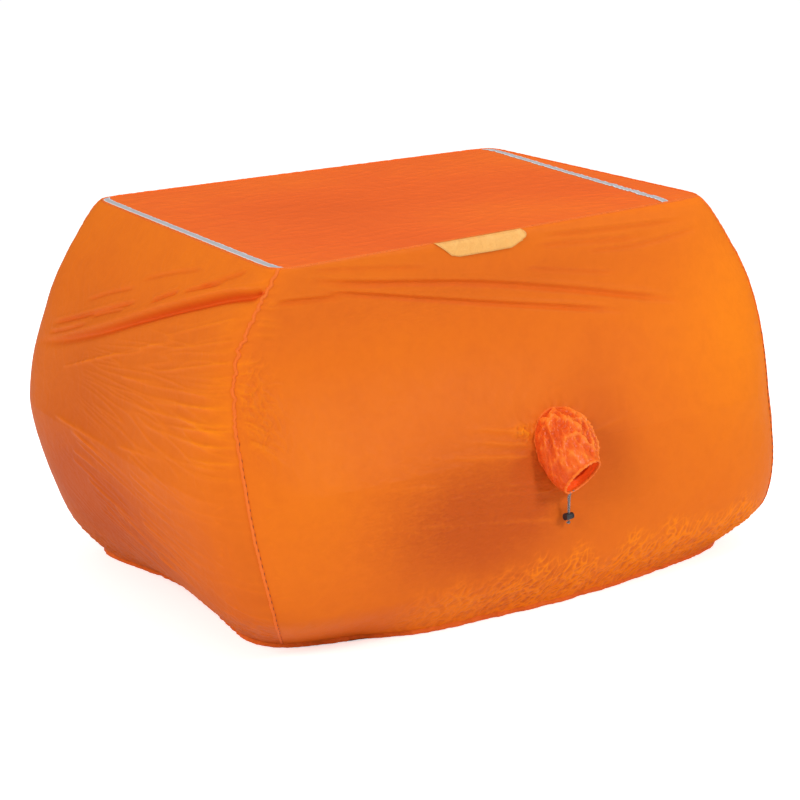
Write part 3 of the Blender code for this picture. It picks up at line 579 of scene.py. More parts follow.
# ---------------------------------------------------------------- folds and tones of each wall
# The folds that show, each a row of (place along the wall, height) points, its depth and its width
FRONT_FOLDS = (
    (
        ((-0.66, 0.918), (-0.461, 0.883), (-0.13, 0.836), (0.147, 0.785), (0.396, 0.733), (0.56, 0.697)),
        0.007, 0.0075,
    ),
    (((-0.62, 0.886), (-0.486, 0.86), (-0.103, 0.784), (0.262, 0.719), (0.36, 0.698)), 0.0064, 0.006),
    (((-0.62, 0.937), (-0.44, 0.916), (-0.25, 0.89)), 0.003, 0.007),
    (((0.02, 0.852), (0.17, 0.826), (0.33, 0.8)), 0.0026, 0.006),
    (((0.045, 0.903), (0.21, 0.893), (0.42, 0.88)), 0.0036, 0.0065),
    (((0.075, 0.925), (0.32, 0.913), (0.57, 0.904)), 0.0034, 0.005),
    (((0.2, 0.868), (0.4, 0.862), (0.62, 0.88)), 0.0028, 0.006),
    (((-0.7, 0.868), (-0.6, 0.862), (-0.5, 0.856)), 0.0055, 0.0075),
)
DEEP_FOLD = (
    (-0.74, 0.938), (-0.43, 0.88), (-0.245, 0.822), (-0.042, 0.75), (0.126, 0.686), (0.351, 0.615),
    (0.5, 0.585),
)
LEFT_FOLDS = (
    (((-0.017, 0.789), (0.184, 0.719), (0.391, 0.65)), 0.006, 0.0052),
    (((0.04, 0.758), (0.12, 0.733), (0.2, 0.706)), 0.0045, 0.0042),
    (((-0.175, 0.841), (-0.11, 0.814), (-0.06, 0.792)), 0.005, 0.0048),
    (((-0.35, 0.893), (-0.27, 0.868), (-0.185, 0.84)), 0.0045, 0.0045),
    (((-0.43, 0.936), (-0.34, 0.899), (-0.24, 0.86)), 0.004, 0.0055),
    (((-0.25, 0.905), (-0.12, 0.872), (0.02, 0.828)), 0.0032, 0.006),
    (((0.2, 0.69), (0.3, 0.655), (0.4, 0.625)), 0.0042, 0.0055),
    (((0.02, 0.812), (0.12, 0.782), (0.24, 0.738)), 0.0034, 0.005),
)
# Creases pinched outwards: where each is highest, where it has died away, its height and its width
FRONT_CRESTS = (
    ((-0.03, 0.414), (-0.37, 0.466), 0.0042, 0.0058), ((-0.03, 0.44), (-0.25, 0.486), 0.0038, 0.005),
    ((-0.05, 0.474), (-0.235, 0.512), 0.0032, 0.005), ((0.02, 0.322), (-0.25, 0.358), 0.0034, 0.0055),
    ((-0.02, 0.345), (-0.215, 0.375), 0.0026, 0.0045), ((0.05, 0.248), (-0.56, 0.336), 0.0032, 0.007),
    ((-0.3, 0.392), (-0.56, 0.425), 0.002, 0.006), ((0.16, 0.44), (0.34, 0.47), 0.0016, 0.006),
)
LEFT_CRESTS = (
    ((-0.497, 0.574), (-0.2, 0.59), 0.0042, 0.005), ((-0.499, 0.547), (-0.04, 0.519), 0.0026, 0.005),
    ((0.3, 0.44), (-0.16, 0.43), 0.004, 0.005), ((-0.042, 0.447), (-0.33, 0.477), 0.0028, 0.0045),
    ((0.2, 0.426), (-0.15, 0.384), 0.0032, 0.0048), ((0.2, 0.376), (-0.05, 0.346), 0.0034, 0.005),
    ((-0.007, 0.607), (-0.26, 0.64), 0.0028, 0.0045), ((0.21, 0.352), (-0.01, 0.3), 0.0026, 0.0048),
    ((-0.007, 0.281), (-0.23, 0.212), 0.0032, 0.005), ((0.06, 0.262), (-0.12, 0.19), 0.0028, 0.005),
)
# Fans of creases, as seam_fan takes them
FRONT_FANS = (
    (17, (-0.772, 0.745), (-0.78, 0.56), (-0.67, 0.735), (-0.69, 0.485), 0.0056, 0.0042, 21),
    (16, (-0.782, 0.55), (-0.77, 0.17), (-0.745, 0.548), (-0.728, 0.16), 0.0016, 0.0035, 22),
    (6, (-0.7, 0.9), (-0.745, 0.79), (-0.6, 0.89), (-0.64, 0.76), 0.0034, 0.006, 23),
)
LEFT_FANS = (
    (18, (-0.455, 0.835), (-0.535, 0.48), (-0.01, 0.69), (-0.03, 0.46), 0.004, 0.0036, 61),
    (15, (0.2, 0.455), (0.1, 0.23), (-0.45, 0.335), (-0.43, 0.11), 0.0036, 0.0042, 62),
    (13, (-0.1, 0.46), (-0.18, 0.2), (-0.525, 0.37), (-0.51, 0.13), 0.0032, 0.0036, 63),
    (12, (-0.52, 0.52), (-0.515, 0.18), (-0.47, 0.5), (-0.47, 0.165), 0.0018, 0.0036, 64),
    (14, (-0.1, 0.7), (0.3, 0.56), (-0.26, 0.745), (0.05, 0.64), 0.0026, 0.0036, 70),
)
# Patches of painted light and painted shade: how much, their middle and their reach
FRONT_PAINTED_LIGHT = (
    (0.42, (0.7, 0.62), (0.2, 0.3)), (-0.62, (-0.2, 0.29), (0.28, 0.16)),
    (-0.3, (0.2, 0.42), (0.1, 0.16)), (-0.12, (-0.05, 0.83), (0.45, 0.05)),
    (0.1, (-0.62, 0.45), (0.14, 0.3)), (-0.34, (-0.05, 0.38), (0.05, 0.1)),
)
LEFT_PAINTED_LIGHT = (
    (-0.2, (0.2, 0.46), (0.3, 0.22)), (0.16, (-0.45, 0.62), (0.13, 0.2)), (-0.44, (0.1, 0.24), (0.36, 0.15)),
)
# How much painted light cloth gets for each metre that its fine relief stands out, and painted shade where it
# sinks
RELIEF_PAINTED_LIGHT = {"front": 60, "left": 70, "away": 50}
QUIET_FOLDS, QUIET_CRESTS = 7, 40


def crest(x, z, start, end, height, width):
    """A crease pinched outwards from start, where it rises quickly, to end, where it dies away."""
    (ax, az), (bx, bz) = start, end
    dx, dz = bx - ax, bz - az
    length = math.hypot(dx, dz)
    along = ((x - ax) * dx + (z - az) * dz) / length**2
    waver = 0.22 * width * noise(x / 0.03, z / 0.03, int(1000 * abs(az)))
    across = ((z - az) * dx - (x - ax) * dz) / length + waver
    fade = smoothstep(0, 0.12, along) * smoothstep(1.0, 0.25, along)
    return height * fade * np.exp(-np.abs(across / width) ** 1.4)


def seam_fan(count, high, low, far_high, far_low, height, width, seed):
    """Creases that leave a line from high down to low, and run out to the line far_high, far_low."""
    random = np.random.default_rng(seed)
    high, low, far_high, far_low = map(np.array, (high, low, far_high, far_low))
    for k in range(count):
        share = (k + random.uniform(-0.45, 0.45)) / (count - 1)
        start = high + (low - high) * share
        reach, aim = random.uniform(0.35, 1.0), share + random.uniform(-0.12, 0.12)
        end = start + (far_high + (far_low - far_high) * aim - start) * reach
        yield start, end, height * random.uniform(0.4, 1.0) ** 2, width * random.uniform(0.6, 1.2)


def crease_relief(x, z, fans, crests):
    """The relief of all the creases of a wall at (x, z)."""
    lines = [line for fan in fans for line in seam_fan(*fan)]
    return sum(crest(x, z, *line) for line in (*lines, *crests))


def front_folds(x, z):
    """How far the front wall's folds stand out at (x, z), and its tones (painted light, painted crease shade,
    crinkle).
    """
    broad, creases = slack(x, z, 11), 0.0
    for line, depth, width in FRONT_FOLDS:
        f = fold(x, z, line, depth, width)
        broad, creases = broad + f, creases + np.clip(-f / 0.012, 0, 1)
    fine = crease_relief(x, z, FRONT_FANS, FRONT_CRESTS)

    # The gathers round the vent's seam, and the tuft that it pulls up on its left
    away_x, away_z = x - VENT_OFFSET, z - VENT_HEIGHT
    away, turn = np.hypot(away_x, away_z), np.arctan2(away_z, away_x)
    near = np.exp(-np.clip(away - VENT_RADIUS, 0, 1) / 0.022)
    fine += 0.0008 * near * np.sin(turn * 19 + 2.5 * noise(turn * 2, away / 0.03, 31))
    tuft = blob(x, z, (-0.05, 0.472), (0.026, 0.018))
    fine += tuft * (0.007 + 0.009 * crumple(x, z, 0.018, 33))

    # Slack cloth low down: fine level streaks, then crisp crinkles just over the hem
    band = blob(x, z, (-0.26, 0.315), (0.34, 0.13))
    fine += 0.0024 * band * streaks(x, z, -0.1, 0.05, 0.008, 42, 4.0)
    fine += 0.0012 * band * crumple(x, z, 0.018, 44)
    edge = 0.19 + 0.06 * wave(x, 0.12, 45)
    low = smoothstep(edge, edge - 0.11, z) * smoothstep(-0.5, -0.28, x)
    crisp = crumple(x, z, 0.024, 41, 3)
    glints = streaks(x, z, 1.15, 0.05, 0.022, 46, 4.0) + streaks(x, z, 0.5, 0.045, 0.02, 49, 4.5)
    glints = glints * smoothstep(-0.3, 0.1, x)
    fine += low * (0.002 * crisp + 0.0024 * glints)
    fine += 0.0004 * crumple(x, z, 0.05, 43)
    drawn = blob(x, z, (-0.745, 0.64), (0.06, 0.11))
    fine += 0.0034 * drawn * crumple(x, z, 0.024, 48)
    high = blob(x, z, (-0.3, 0.8), (0.3, 0.06))
    fine += 0.0012 * high * streaks(x, z, -0.14, 0.05, 0.007, 47, 4.0)

    # Painted light and shade: the patches, light from the fine relief, and painted glints on the crinkles
    # just over the hem, which is also lighter towards the right.
    light = 0.52 + blobs(x, z, FRONT_PAINTED_LIGHT) + RELIEF_PAINTED_LIGHT["front"] * fine
    light = light + low * (0.1 * smoothstep(-0.3, 0.1, x) + 0.3 * crisp + 1.5 * np.clip(glints + 0.2, 0, 1))
    crinkle = 0.03 + 0.5 * low + 0.3 * band + 0.5 * tuft + 0.25 * drawn
    return broad + fine, np.stack([light, np.clip(creases, 0, 1) * 0.4, crinkle], -1)


def left_folds(y, z):
    """The same for the left end wall, over (y, z), with the front's corner seam near y = -0.5."""
    f = fold(y, z, DEEP_FOLD, 0.023, 0.0105, lip=0.45) * (0.22 + 0.78 * smoothstep(0.52, -0.3, y))
    broad, creases = slack(y, z, 51) + f, np.clip(-f / 0.018, 0, 1)
    for line, depth, width in LEFT_FOLDS:
        f = fold(y, z, line, depth, width)
        broad, creases = broad + f, creases + 0.45 * np.clip(-f / 0.005, 0, 1)
    fine = crease_relief(y, z, LEFT_FANS, LEFT_CRESTS)

    ledge = smooth_curve(np.clip(y, -0.74, 0.5), *zip(*DEEP_FOLD))
    beside = np.exp(-(((z - ledge - 0.035) / 0.06) ** 2)) * smoothstep(-0.45, 0.0, y)
    low, lower = smoothstep(0.17, 0.05, z), smoothstep(0.5, 0.3, z)
    fine += 0.0034 * low * crumple(y, z, 0.03, 67)
    fine += 0.0004 * crumple(y, z, 0.045, 68)
    under = smoothstep(ledge - 0.015, ledge - 0.06, z) * smoothstep(0.43, 0.5, z) * smoothstep(0.3, 0.0, y)
    fine += 0.0017 * under * radiate(y, z, (0.5, 0.575), 0.034, 0.24, 71)
    faint = 0.0019 * lower * smoothstep(0.35, 0.1, y) * smoothstep(-0.7, 0.5, noise(y / 0.2, z / 0.12, 73))
    fine += faint * radiate(y, z, (0.75, 0.5), 0.03, 0.28, 72)

    # Painted light: lighter near the top and darker low down, then the patches and light from the fine
    # relief; creases is painted shade in the folds' valleys.
    light = 0.46 + 0.14 * smoothstep(0.72, 0.92, z) - 0.1 * lower
    light = light + blobs(y, z, LEFT_PAINTED_LIGHT) + RELIEF_PAINTED_LIGHT["left"] * fine
    crinkle = 0.04 + 0.15 * beside + 0.1 * lower + 0.3 * low
    return broad + fine, np.stack([light, np.clip(creases, 0, 1) * 0.7, crinkle], -1)


def slack(x, z, seed):
    """The broad, shallow waves of cloth that nothing pulls tight."""
    return 0.003 * noise(x / 0.36, z / 0.24, seed) + 0.001 * noise(x / 0.15, z / 0.1, seed + 1)


def quiet_folds(seed):
    """Folds for the two walls away from the camera: the same kinds, placed at random."""

    def folds(h, z):
        random = np.random.default_rng(seed)
        broad, creases, fine = slack(h, z, seed), 0.0, 0.0
        for _ in range(QUIET_FOLDS):
            left, high = random.uniform(-0.65, 0.0), random.uniform(0.7, 0.91)
            run, drop = random.uniform(0.35, 0.75), random.uniform(-0.1, 0.1)
            line = ((left, high), (left + run / 2, high + drop * 0.6), (left + run, high + drop))
            f = fold(h, z, line, random.uniform(0.003, 0.006), random.uniform(0.006, 0.009))
            broad, creases = broad + f, creases + np.clip(-f / 0.01, 0, 1)
        for _ in range(QUIET_CRESTS):
            start = np.array((random.uniform(-0.65, 0.65), random.uniform(0.15, 0.85)))
            end = start + (random.uniform(-0.28, 0.28), random.uniform(-0.1, 0.1))
            fine += crest(h, z, start, end, random.uniform(0.0015, 0.0036), 0.005)
        low = smoothstep(0.2, 0.08, z)
        fine += 0.004 * low * crumple(h, z, 0.03, seed + 4, 4)
        fine += 0.0005 * crumple(h, z, 0.05, seed + 5)
        # Painted light that differs at random and follows the fine relief; creases is painted shade in the
        # folds' valleys.
        light = 0.5 + 0.18 * noise(h / 0.5, z / 0.3, seed + 6) + RELIEF_PAINTED_LIGHT["away"] * fine
        return broad + fine, np.stack([light, np.clip(creases, 0, 1) * 0.6, 0.12 + 0.6 * low], -1)

    return folds


def seam_pull(corner, z):
    """How far stitching draws a corner seam in and out along its length."""
    seed = 70 + list(CORNERS).index(corner)
    strength = 0.005 * smoothstep(0.48, 0.6, z) + 0.0006
    return strength * (wave(z, 0.03, seed) + 0.7 * wave(z, 0.012, seed + 10))


def corner_line(corner, z):
    """The corner seam's line, with its puckers, which both of its walls share."""
    line = corner_point(corner, z)
    sx, sy = CORNERS[corner][:2]
    pull = seam_pull(corner, z) * smoothstep(HEIGHT, HEIGHT - 0.03, z)
    return line + np.stack([sx * pull, -sy * pull, 0 * pull], -1)


def hem_reach(side, t):
    """How far the hem strays outwards from an even line."""
    x = t * 0.66
    if side == "front":
        spill = 0.026 * blob(x, 0, (-0.34, 0), (0.13, 1)) - 0.012 * blob(x, 0, (-0.5, 0), (0.05, 1))
        return spill + 0.006 * wave(x, 0.1, 81) + 0.003 * wave(x, 0.03, 84)
    return 0.008 * wave(x, 0.13, 82) + 0.004 * wave(x, 0.04, 83)


WALLS = {  # the solid that each stands for, its folds, and how many columns and rows it has
    "front": ("front_wall", front_folds, 600, 350), "left": ("left_end_wall", left_folds, 430, 350),
    "back": ("back_wall", quiet_folds(101), 400, 240),
    "right": ("right_end_wall", quiet_folds(121), 300, 240),
}


def cloth_at(side, t, z):
    """Points of a wall's cloth with its folds, and its tones there."""
    place = wall_point(side, t, z)
    h = place[..., 0] if side in ("front", "back") else place[..., 1]
    out, tones = WALLS[side][1](h, z)
    edge = smoothstep(0, 0.035, 1 - np.abs(t)) * smoothstep(HEIGHT, HEIGHT - 0.02, z)
    edge = edge * (0.25 + 0.75 * smoothstep(0.01, 0.05, z))
    place = place + normals_of(place) * (out * edge)[..., None]
    for end, corner in zip((-1, 1), ENDS[side]):
        shift = corner_line(corner, z) - corner_point(corner, z)
        place = place + shift * smoothstep(0.05, 0, np.abs(t - end))[..., None]
    foot = smoothstep(0.11, 0.0, z) * (1 - t**2)
    return place + wall_out(side, t, z) * (hem_reach(side, t) * foot)[..., None], h, tones


def length_of(points, axis):
    return float(np.linalg.norm(np.diff(points, axis=axis), axis=-1).sum(axis).max())


def wall_cloth(side):
    """A wall as one sheet, with its folds, from inside the hem up to the roof seam, and its flat size."""
    name, _, columns, rows = WALLS[side]
    t, z = np.meshgrid(spread(columns), wall_heights(WALL_FOOT, rows, SHOULDER_ROWS))
    place, h, tones = cloth_at(side, t, z)
    keep = None
    if side in ("front", "back"):
        place, keep = with_hole(place, side)
    piece = mesh_from(name + "_cloth", place, grid_faces(*t.shape, keep=keep), np.stack([h, z], -1), tones)
    even = wall_point(side, t[::20, ::20], z[::20, ::20])
    return piece, (length_of(even, 1), length_of(even, 0))


def lay_sheet(piece, flat):
    """Reads the area of each of a cloth's faces.  flat, the size that it is cut to, is not used."""
    areas = np.empty(len(piece.data.polygons))
    piece.data.polygons.foreach_get("area", areas)


def vent_axes(side):
    """The middle of a vent's hole, the way out and the way to the right as seen from outside."""
    share = VENT_OFFSET / half_size(side, VENT_HEIGHT)
    centre = wall_point(side, share, VENT_HEIGHT)
    out = wall_out(side, share, VENT_HEIGHT)
    return centre, out, np.cross((0, 0, 1), out)


def with_hole(place, side):
    """Pulls the points just inside a vent's hole out to its rim, and says which points are kept."""
    centre, out, right = vent_axes(side)
    across, up = (place - centre) @ right, place[..., 2] - centre[2]
    away, radius = np.hypot(across, up), VENT_RADIUS - SEAM_RADIUS
    rim = (away < radius) & (away > radius - 0.006)
    push = np.where(rim, radius / np.maximum(away, 1e-9) - 1, 0)[..., None]
    place = place + push * (right * across[..., None] + UP * up[..., None])
    return place, ((away >= radius) | rim).ravel()


def roof_point(a, b):
    n = SHARPNESS_ROOF
    u, v = a * (2 - np.abs(b) ** n) ** (1 / n), b * (2 - np.abs(a) ** n) ** (1 / n)
    return between_corners(u, v, np.full(np.shape(u), HEIGHT))


def roof_height(place):
    """How far the roof sags and wrinkles, below the level of its seams."""
    x, y = place[..., 0], place[..., 1]
    sag = -0.006 * blob(x, y, (0.05, 0.0), (0.42, 0.26))
    fine = 0.001 * crumple(x, y, 0.07, 131) + 0.0012 * streaks(x, y, 0.1, 0.22, 0.035, 132, 3.0)
    pulled = 0.002 * blob(x, y, (0.5, -0.3), (0.18, 0.14))
    return sag + fine + pulled * streaks(x, y, -0.5, 0.15, 0.02, 133)


def roof_cloth():
    a, b = np.meshgrid(*(spread(count, 0.3) for count in ROOF_GRID))
    place = roof_point(a, b)
    edge = smoothstep(0, 0.06, 1 - np.maximum(np.abs(a), np.abs(b)))
    place[..., 2] += roof_height(place) * edge
    x, y = place[..., 0], place[..., 1]
    # Painted light: lighter at random and towards the right end, and painted shade where the roof sags or
    # wrinkles down.
    light = 0.5 + 0.22 * noise(x / 0.6, y / 0.4, 134) + 0.12 * smoothstep(0.52, 0.62, x)
    light = light + 40 * (roof_height(place) + 0.003)
    tones = np.stack(np.broadcast_arrays(light, 0, 0.12), -1)
    piece = mesh_from("roof_cloth", place, grid_faces(*a.shape), place[..., :2], tones)
    return piece, (length_of(place, 0), length_of(place, 1))


# ---------------------------------------------------------------- seams, stitches, hem
def stitches(name, path, out, spacing=0.0042, long=0.0026, wide=0.0006):
    """A row of stitches along a path, each a small bead of thread, pointed at both ends."""
    along, length = frames_along(path), run_of(path)
    places = np.arange(spacing, length[-1] - spacing, spacing)

    def at(values):
        return np.stack([np.interp(places, length, values[:, k]) for k in range(3)], -1)

    centre, tangent, way = at(path), at(along), at(out)
    side = np.cross(tangent, way)
    reach = (-tangent * long / 2, tangent * long / 2, side * wide, way * wide, -side * wide, -way * wide)
    points = np.stack([centre + r for r in reach], 1)
    bead = np.array([(0, 2, 3), (0, 3, 4), (0, 4, 5), (0, 5, 2), (1, 3, 2), (1, 4, 3), (1, 5, 4), (1, 2, 5)])
    faces = (np.arange(len(places))[:, None, None] * 6 + bead[None]).reshape(-1, 3)
    return mesh_from(name, points, faces, smooth=False)


def seam_bead(name, path, out, seed, radius=0.0036, closed=False):
    """A rolled and felled seam: a low ridge whose width and height waver as its stitches pull at it."""
    length = run_of(path)
    swell = radius * (1 + 0.22 * wave(length, 0.011, seed) + 0.15 * wave(length, 0.03, seed + 1))
    return swept(name, path, out, lambda i: round_section(swell[i], 10, 0.8), closed, SEAM_PAINTED_LIGHT)


def corner_seam(corner):
    z = wall_heights(HEM_HEIGHT, CORNER_ROWS, SHOULDER_ROWS)
    path = corner_line(corner, z)
    sx, sy = CORNERS[corner][:2]
    out, lean = (np.tile(np.array((x, sy, 0.0)) / math.sqrt(2), (len(path), 1)) for x in (sx, -sx))
    bead = seam_bead(corner + "_seam_bead", path, out, 140 + list(CORNERS).index(corner), 0.0037)
    # The long dark stitches beside the lower seam are thread, and stand also as painted shade of the seam's
    # puckers.
    below = z < 0.6
    beside, ways = (path + out * 0.001 + lean * 0.0036)[below], (out * 0.6 + lean * 0.8)[below]
    return bead, stitches(corner + "_seam_stitches", beside, ways, **CORNER_STITCH)


def roof_seam(side):
    t = np.linspace(-1, 1, ROOF_SEAM_POINTS)
    path = wall_point(side, t, np.full(len(t), HEIGHT))
    path[:, 2] += 0.0006 * noise(t * 30, t * 0, 151)
    out = (wall_out(side, t, np.full(len(t), HEIGHT - 0.001)) + UP) / math.sqrt(2)
    bead = seam_bead(side + "_roof_seam_bead", path, out, 152, 0.003)
    return bead, stitches(side + "_roof_seam_stitches", path + out * 0.0024, out)


# Seams a little lighter all along than the cloth's middle tone, as a painted highlight on their ridge.
SEAM_PAINTED_LIGHT = (0.6, 0.0, 0.4)
# The hem folded over its cord, outside first, as (outwards from the wall, height)
HEM_SECTION = np.array((
    (0.001, 0.0215), (0.0016, 0.019), (0.0012, 0.015), (0.0016, 0.011), (0.003, 0.008), (0.0036, 0.005),
    (0.003, 0.0022), (0.001, 0.0006), (-0.002, 0.0002), (-0.0055, 0.0006), (-0.0078, 0.0024),
    (-0.0084, 0.0052), (-0.0078, 0.0085), (-0.0062, 0.012), (-0.005, 0.017), (-0.0034, 0.0215),
))
HEM_STEP = 0.0025


def hem_roll():
    """The hem, folded over its cord and rumpled, as it lies on the ground."""
    path, out = [], []
    for side, count in HEM_COLUMNS.items():
        t = spread(count)[:-1]
        low = np.full(len(t), HEM_HEIGHT * 0.5)
        way = wall_out(side, t, low)
        path.append(wall_point(side, t, low) + way * (hem_reach(side, t) * (1 - t**2))[:, None])
        out.append(way)
    path, out = np.concatenate(path), np.concatenate(out)
    length = run_of(path)
    u, v = np.meshgrid(length, np.arange(len(HEM_SECTION)) * HEM_STEP, indexing="ij")
    rumple = 0.002 * crumple(u, v, 0.026, 161) + 0.0022 * wave(u, 0.06, 162)
    across, height = HEM_SECTION.T
    lift = (0.0014 * wave(length, 0.06, 163) + 0.001 * wave(length, 0.02, 164))[:, None]
    up = height + lift * height / height.max()
    points = path[:, None] * (1, 1, 0) + out[:, None] * (across + rumple)[..., None] + up[..., None] * UP
    # Painted light and shade that follow the hem's rumples.
    tones = np.stack(np.broadcast_arrays(0.46 + 70 * rumple, 0.1, 0.6), -1)
    faces = grid_faces(*u.shape, closed=True, ring=True)
    return mesh_from("hem_roll", points, faces, np.stack([u, v], -1), tones)


# ---------------------------------------------------------------- tapes, patch, ground panels
def tape(name, edge, inset):
    """A tape on the roof, following the roof's wrinkles, with its edges pressed down."""
    half = half_size("front", HEIGHT)
    b, across = np.meshgrid(spread(TAPE_GRID[0], 0.2) * 0.992, np.linspace(0, 1, TAPE_GRID[1]), indexing="ij")
    outer = edge * (1 - inset * (1 - b) / 2 / half - 0.005)
    a = outer - edge * across * TAPE_WIDTH / half
    if edge > 0:
        a = a[:, ::-1]
    place = roof_point(a, b)
    rim = smoothstep(0, 0.06, 1 - np.maximum(np.abs(a), np.abs(b)))
    place[..., 2] += roof_height(place) * rim + 0.0012 - 0.0009 * (2 * np.abs(across - 0.5)) ** 8
    return mesh_from(name + "_strip", place, grid_faces(*a.shape), np.stack([across, b * 0.45], -1))


def patch():
    """A plain amber patch hung from the roof seam: slanted at its left end, rounded at its right."""
    half = half_size("front", HEIGHT)
    s, d = np.meshgrid(*(np.linspace(0, 1, count) for count in PATCH_GRID))
    left = PATCH_OFFSET - PATCH_LENGTH / 2 + 0.055 * d**0.8
    right = PATCH_OFFSET + PATCH_LENGTH / 2 - 0.012 + 0.016 * np.sin(np.pi * np.clip(d * 1.15, 0, 1)) ** 0.7
    x = left + (right - left) * s
    deep = PATCH_DROP * (1 - 0.3 * smoothstep(0.8, 1.0, s) - 0.12 * smoothstep(0.12, 0.0, s))
    angle = np.arccos(1 - (0.02 + 0.98 * d) * deep / SHOULDER_DROP)
    z = HEIGHT - SHOULDER_DROP * (1 - np.cos(angle))
    place = cloth_at("front", x / half, z)[0]
    normal = -normals_of(place)
    waves = 0.001 * noise(x / 0.035, z / 0.015, 171) + 0.0008 * crumple(x, z, 0.022, 172)
    place = place + normal * (0.0024 + waves)[..., None]
    rim = np.minimum(np.minimum(s, 1 - s) * PATCH_LENGTH, np.minimum(d, 1 - d) * PATCH_DROP)
    edge = smoothstep(0.002, 0.0006, rim)
    tones = np.stack(np.broadcast_arrays(0.5 + 120 * waves, edge, 0.4), -1)
    faces = grid_faces(*s.shape)[:, ::-1]
    piece = mesh_from("front_label_patch_cloth", place, faces, np.stack([x, z], -1), tones)

    def border(values):
        inner = values[3:-3, 4:-4]
        return np.concatenate([inner[0], inner[1:, -1], inner[-1][::-1][1:], inner[1:-1, 0][::-1]])

    ways = border(normal)
    line = border(place) + ways * 0.0003
    return piece, stitches("front_label_patch_stitches", line, ways, **PATCH_STITCH)


def ground_panel(node):
    """A ground panel: a limp sheet with a few shallow wrinkles, cut as its solid is."""
    ring = np.array([v.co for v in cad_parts[node].data.vertices])
    ring = ring[ring[:, 2] > ring[:, 2].max() - 0.0001]
    x = np.linspace(ring[:, 0].min() + 0.001, ring[:, 0].max() - 0.001, PANEL_GRID[0])
    middle = (ring[:, 1].min() + ring[:, 1].max()) / 2
    edges = []
    for part in (ring[ring[:, 1] <= middle], ring[ring[:, 1] > middle]):
        part = part[np.argsort(part[:, 0])]
        edges.append(np.interp(x, part[:, 0], part[:, 1]))
    share = np.linspace(0, 1, PANEL_GRID[1])[:, None]
    y = edges[0] + (edges[1] - edges[0]) * share
    x = np.broadcast_to(x, y.shape)
    z = 0.002 + 0.0009 * noise(x / 0.09, y / 0.07, 181) + 0.0008 * crumple(x, y, 0.05, 182)
    place = np.stack([x, y, np.clip(z, 0.0004, 0.0042)], -1)
    return mesh_from(node + "_cloth", place, grid_faces(*y.shape), place[..., :2])


# ---------------------------------------------------------------- vents
class Vent:
    """Where a vent's hole and mouth are, and the way that each faces."""

    def __init__(self, side):
        self.side = side
        self.centre, self.out, self.right = vent_axes(side)
        x, y, z = self.out * math.cos(MOUTH_TILT) - UP * math.sin(MOUTH_TILT)
        c, s = math.cos(MOUTH_TURN), math.sin(MOUTH_TURN)
        self.mouth_out = np.array((c * x - s * y, s * x + c * y, z))
        flat = unit(self.right - self.mouth_out * (self.right @ self.mouth_out))
        self.mouth_right = flat * math.cos(MOUTH_ROLL) + np.cross(self.mouth_out, flat) * math.sin(MOUTH_ROLL)
        self.mouth_up = np.cross(self.mouth_out, self.mouth_right)
        self.mouth_up *= np.sign(self.mouth_up[2])
        self.mouth_at = self.centre + self.out * SLEEVE_REACH - UP * SLEEVE_FALL

    def on_mouth(self, turns, back=0.0, inset=0.0):
        ring = self.mouth_right * (np.cos(turns) * (MOUTH_LENGTH / 2 - inset))[:, None]
        ring = ring + self.mouth_up * (np.sin(turns) * (MOUTH_WIDTH / 2 - inset))[:, None]
        return self.mouth_at + ring - self.mouth_out * back

    def bend(self):
        """Where the sleeve's turn begins and ends: past all of its seam, and short of all of its mouth."""
        turns = np.arange(64) * np.pi / 32
        root, mouth = self.on_wall(turns, VENT_RADIUS), self.on_mouth(turns, MOUTH_HEM)
        way = unit(np.cross(root[0] - root[32], root[16] - root[48]))
        way *= np.sign(way @ self.out)
        near, far = ((root - self.centre) @ way).max(), ((mouth - self.centre) @ way).min()
        return tuple(self.centre + way * near), tuple(self.centre + way * far)

    def on_wall(self, turns, radius):
        across, height = radius * np.cos(turns), radius * np.sin(turns)
        t = (VENT_OFFSET + across) / half_size(self.side, VENT_HEIGHT)
        depth = (wall_point(self.side, t, VENT_HEIGHT + height) - self.centre) @ self.out - CLOTH / 2
        ring = self.centre + self.right * across[:, None] + self.out * depth[:, None]
        return ring + UP * height[:, None]


def around_ring(turns, radius, pattern):
    """A pattern round a ring, faded into itself where the ring closes."""
    share = turns / (2 * np.pi)
    return pattern(turns * radius) * (1 - share) + pattern((turns - 2 * np.pi) * radius) * share


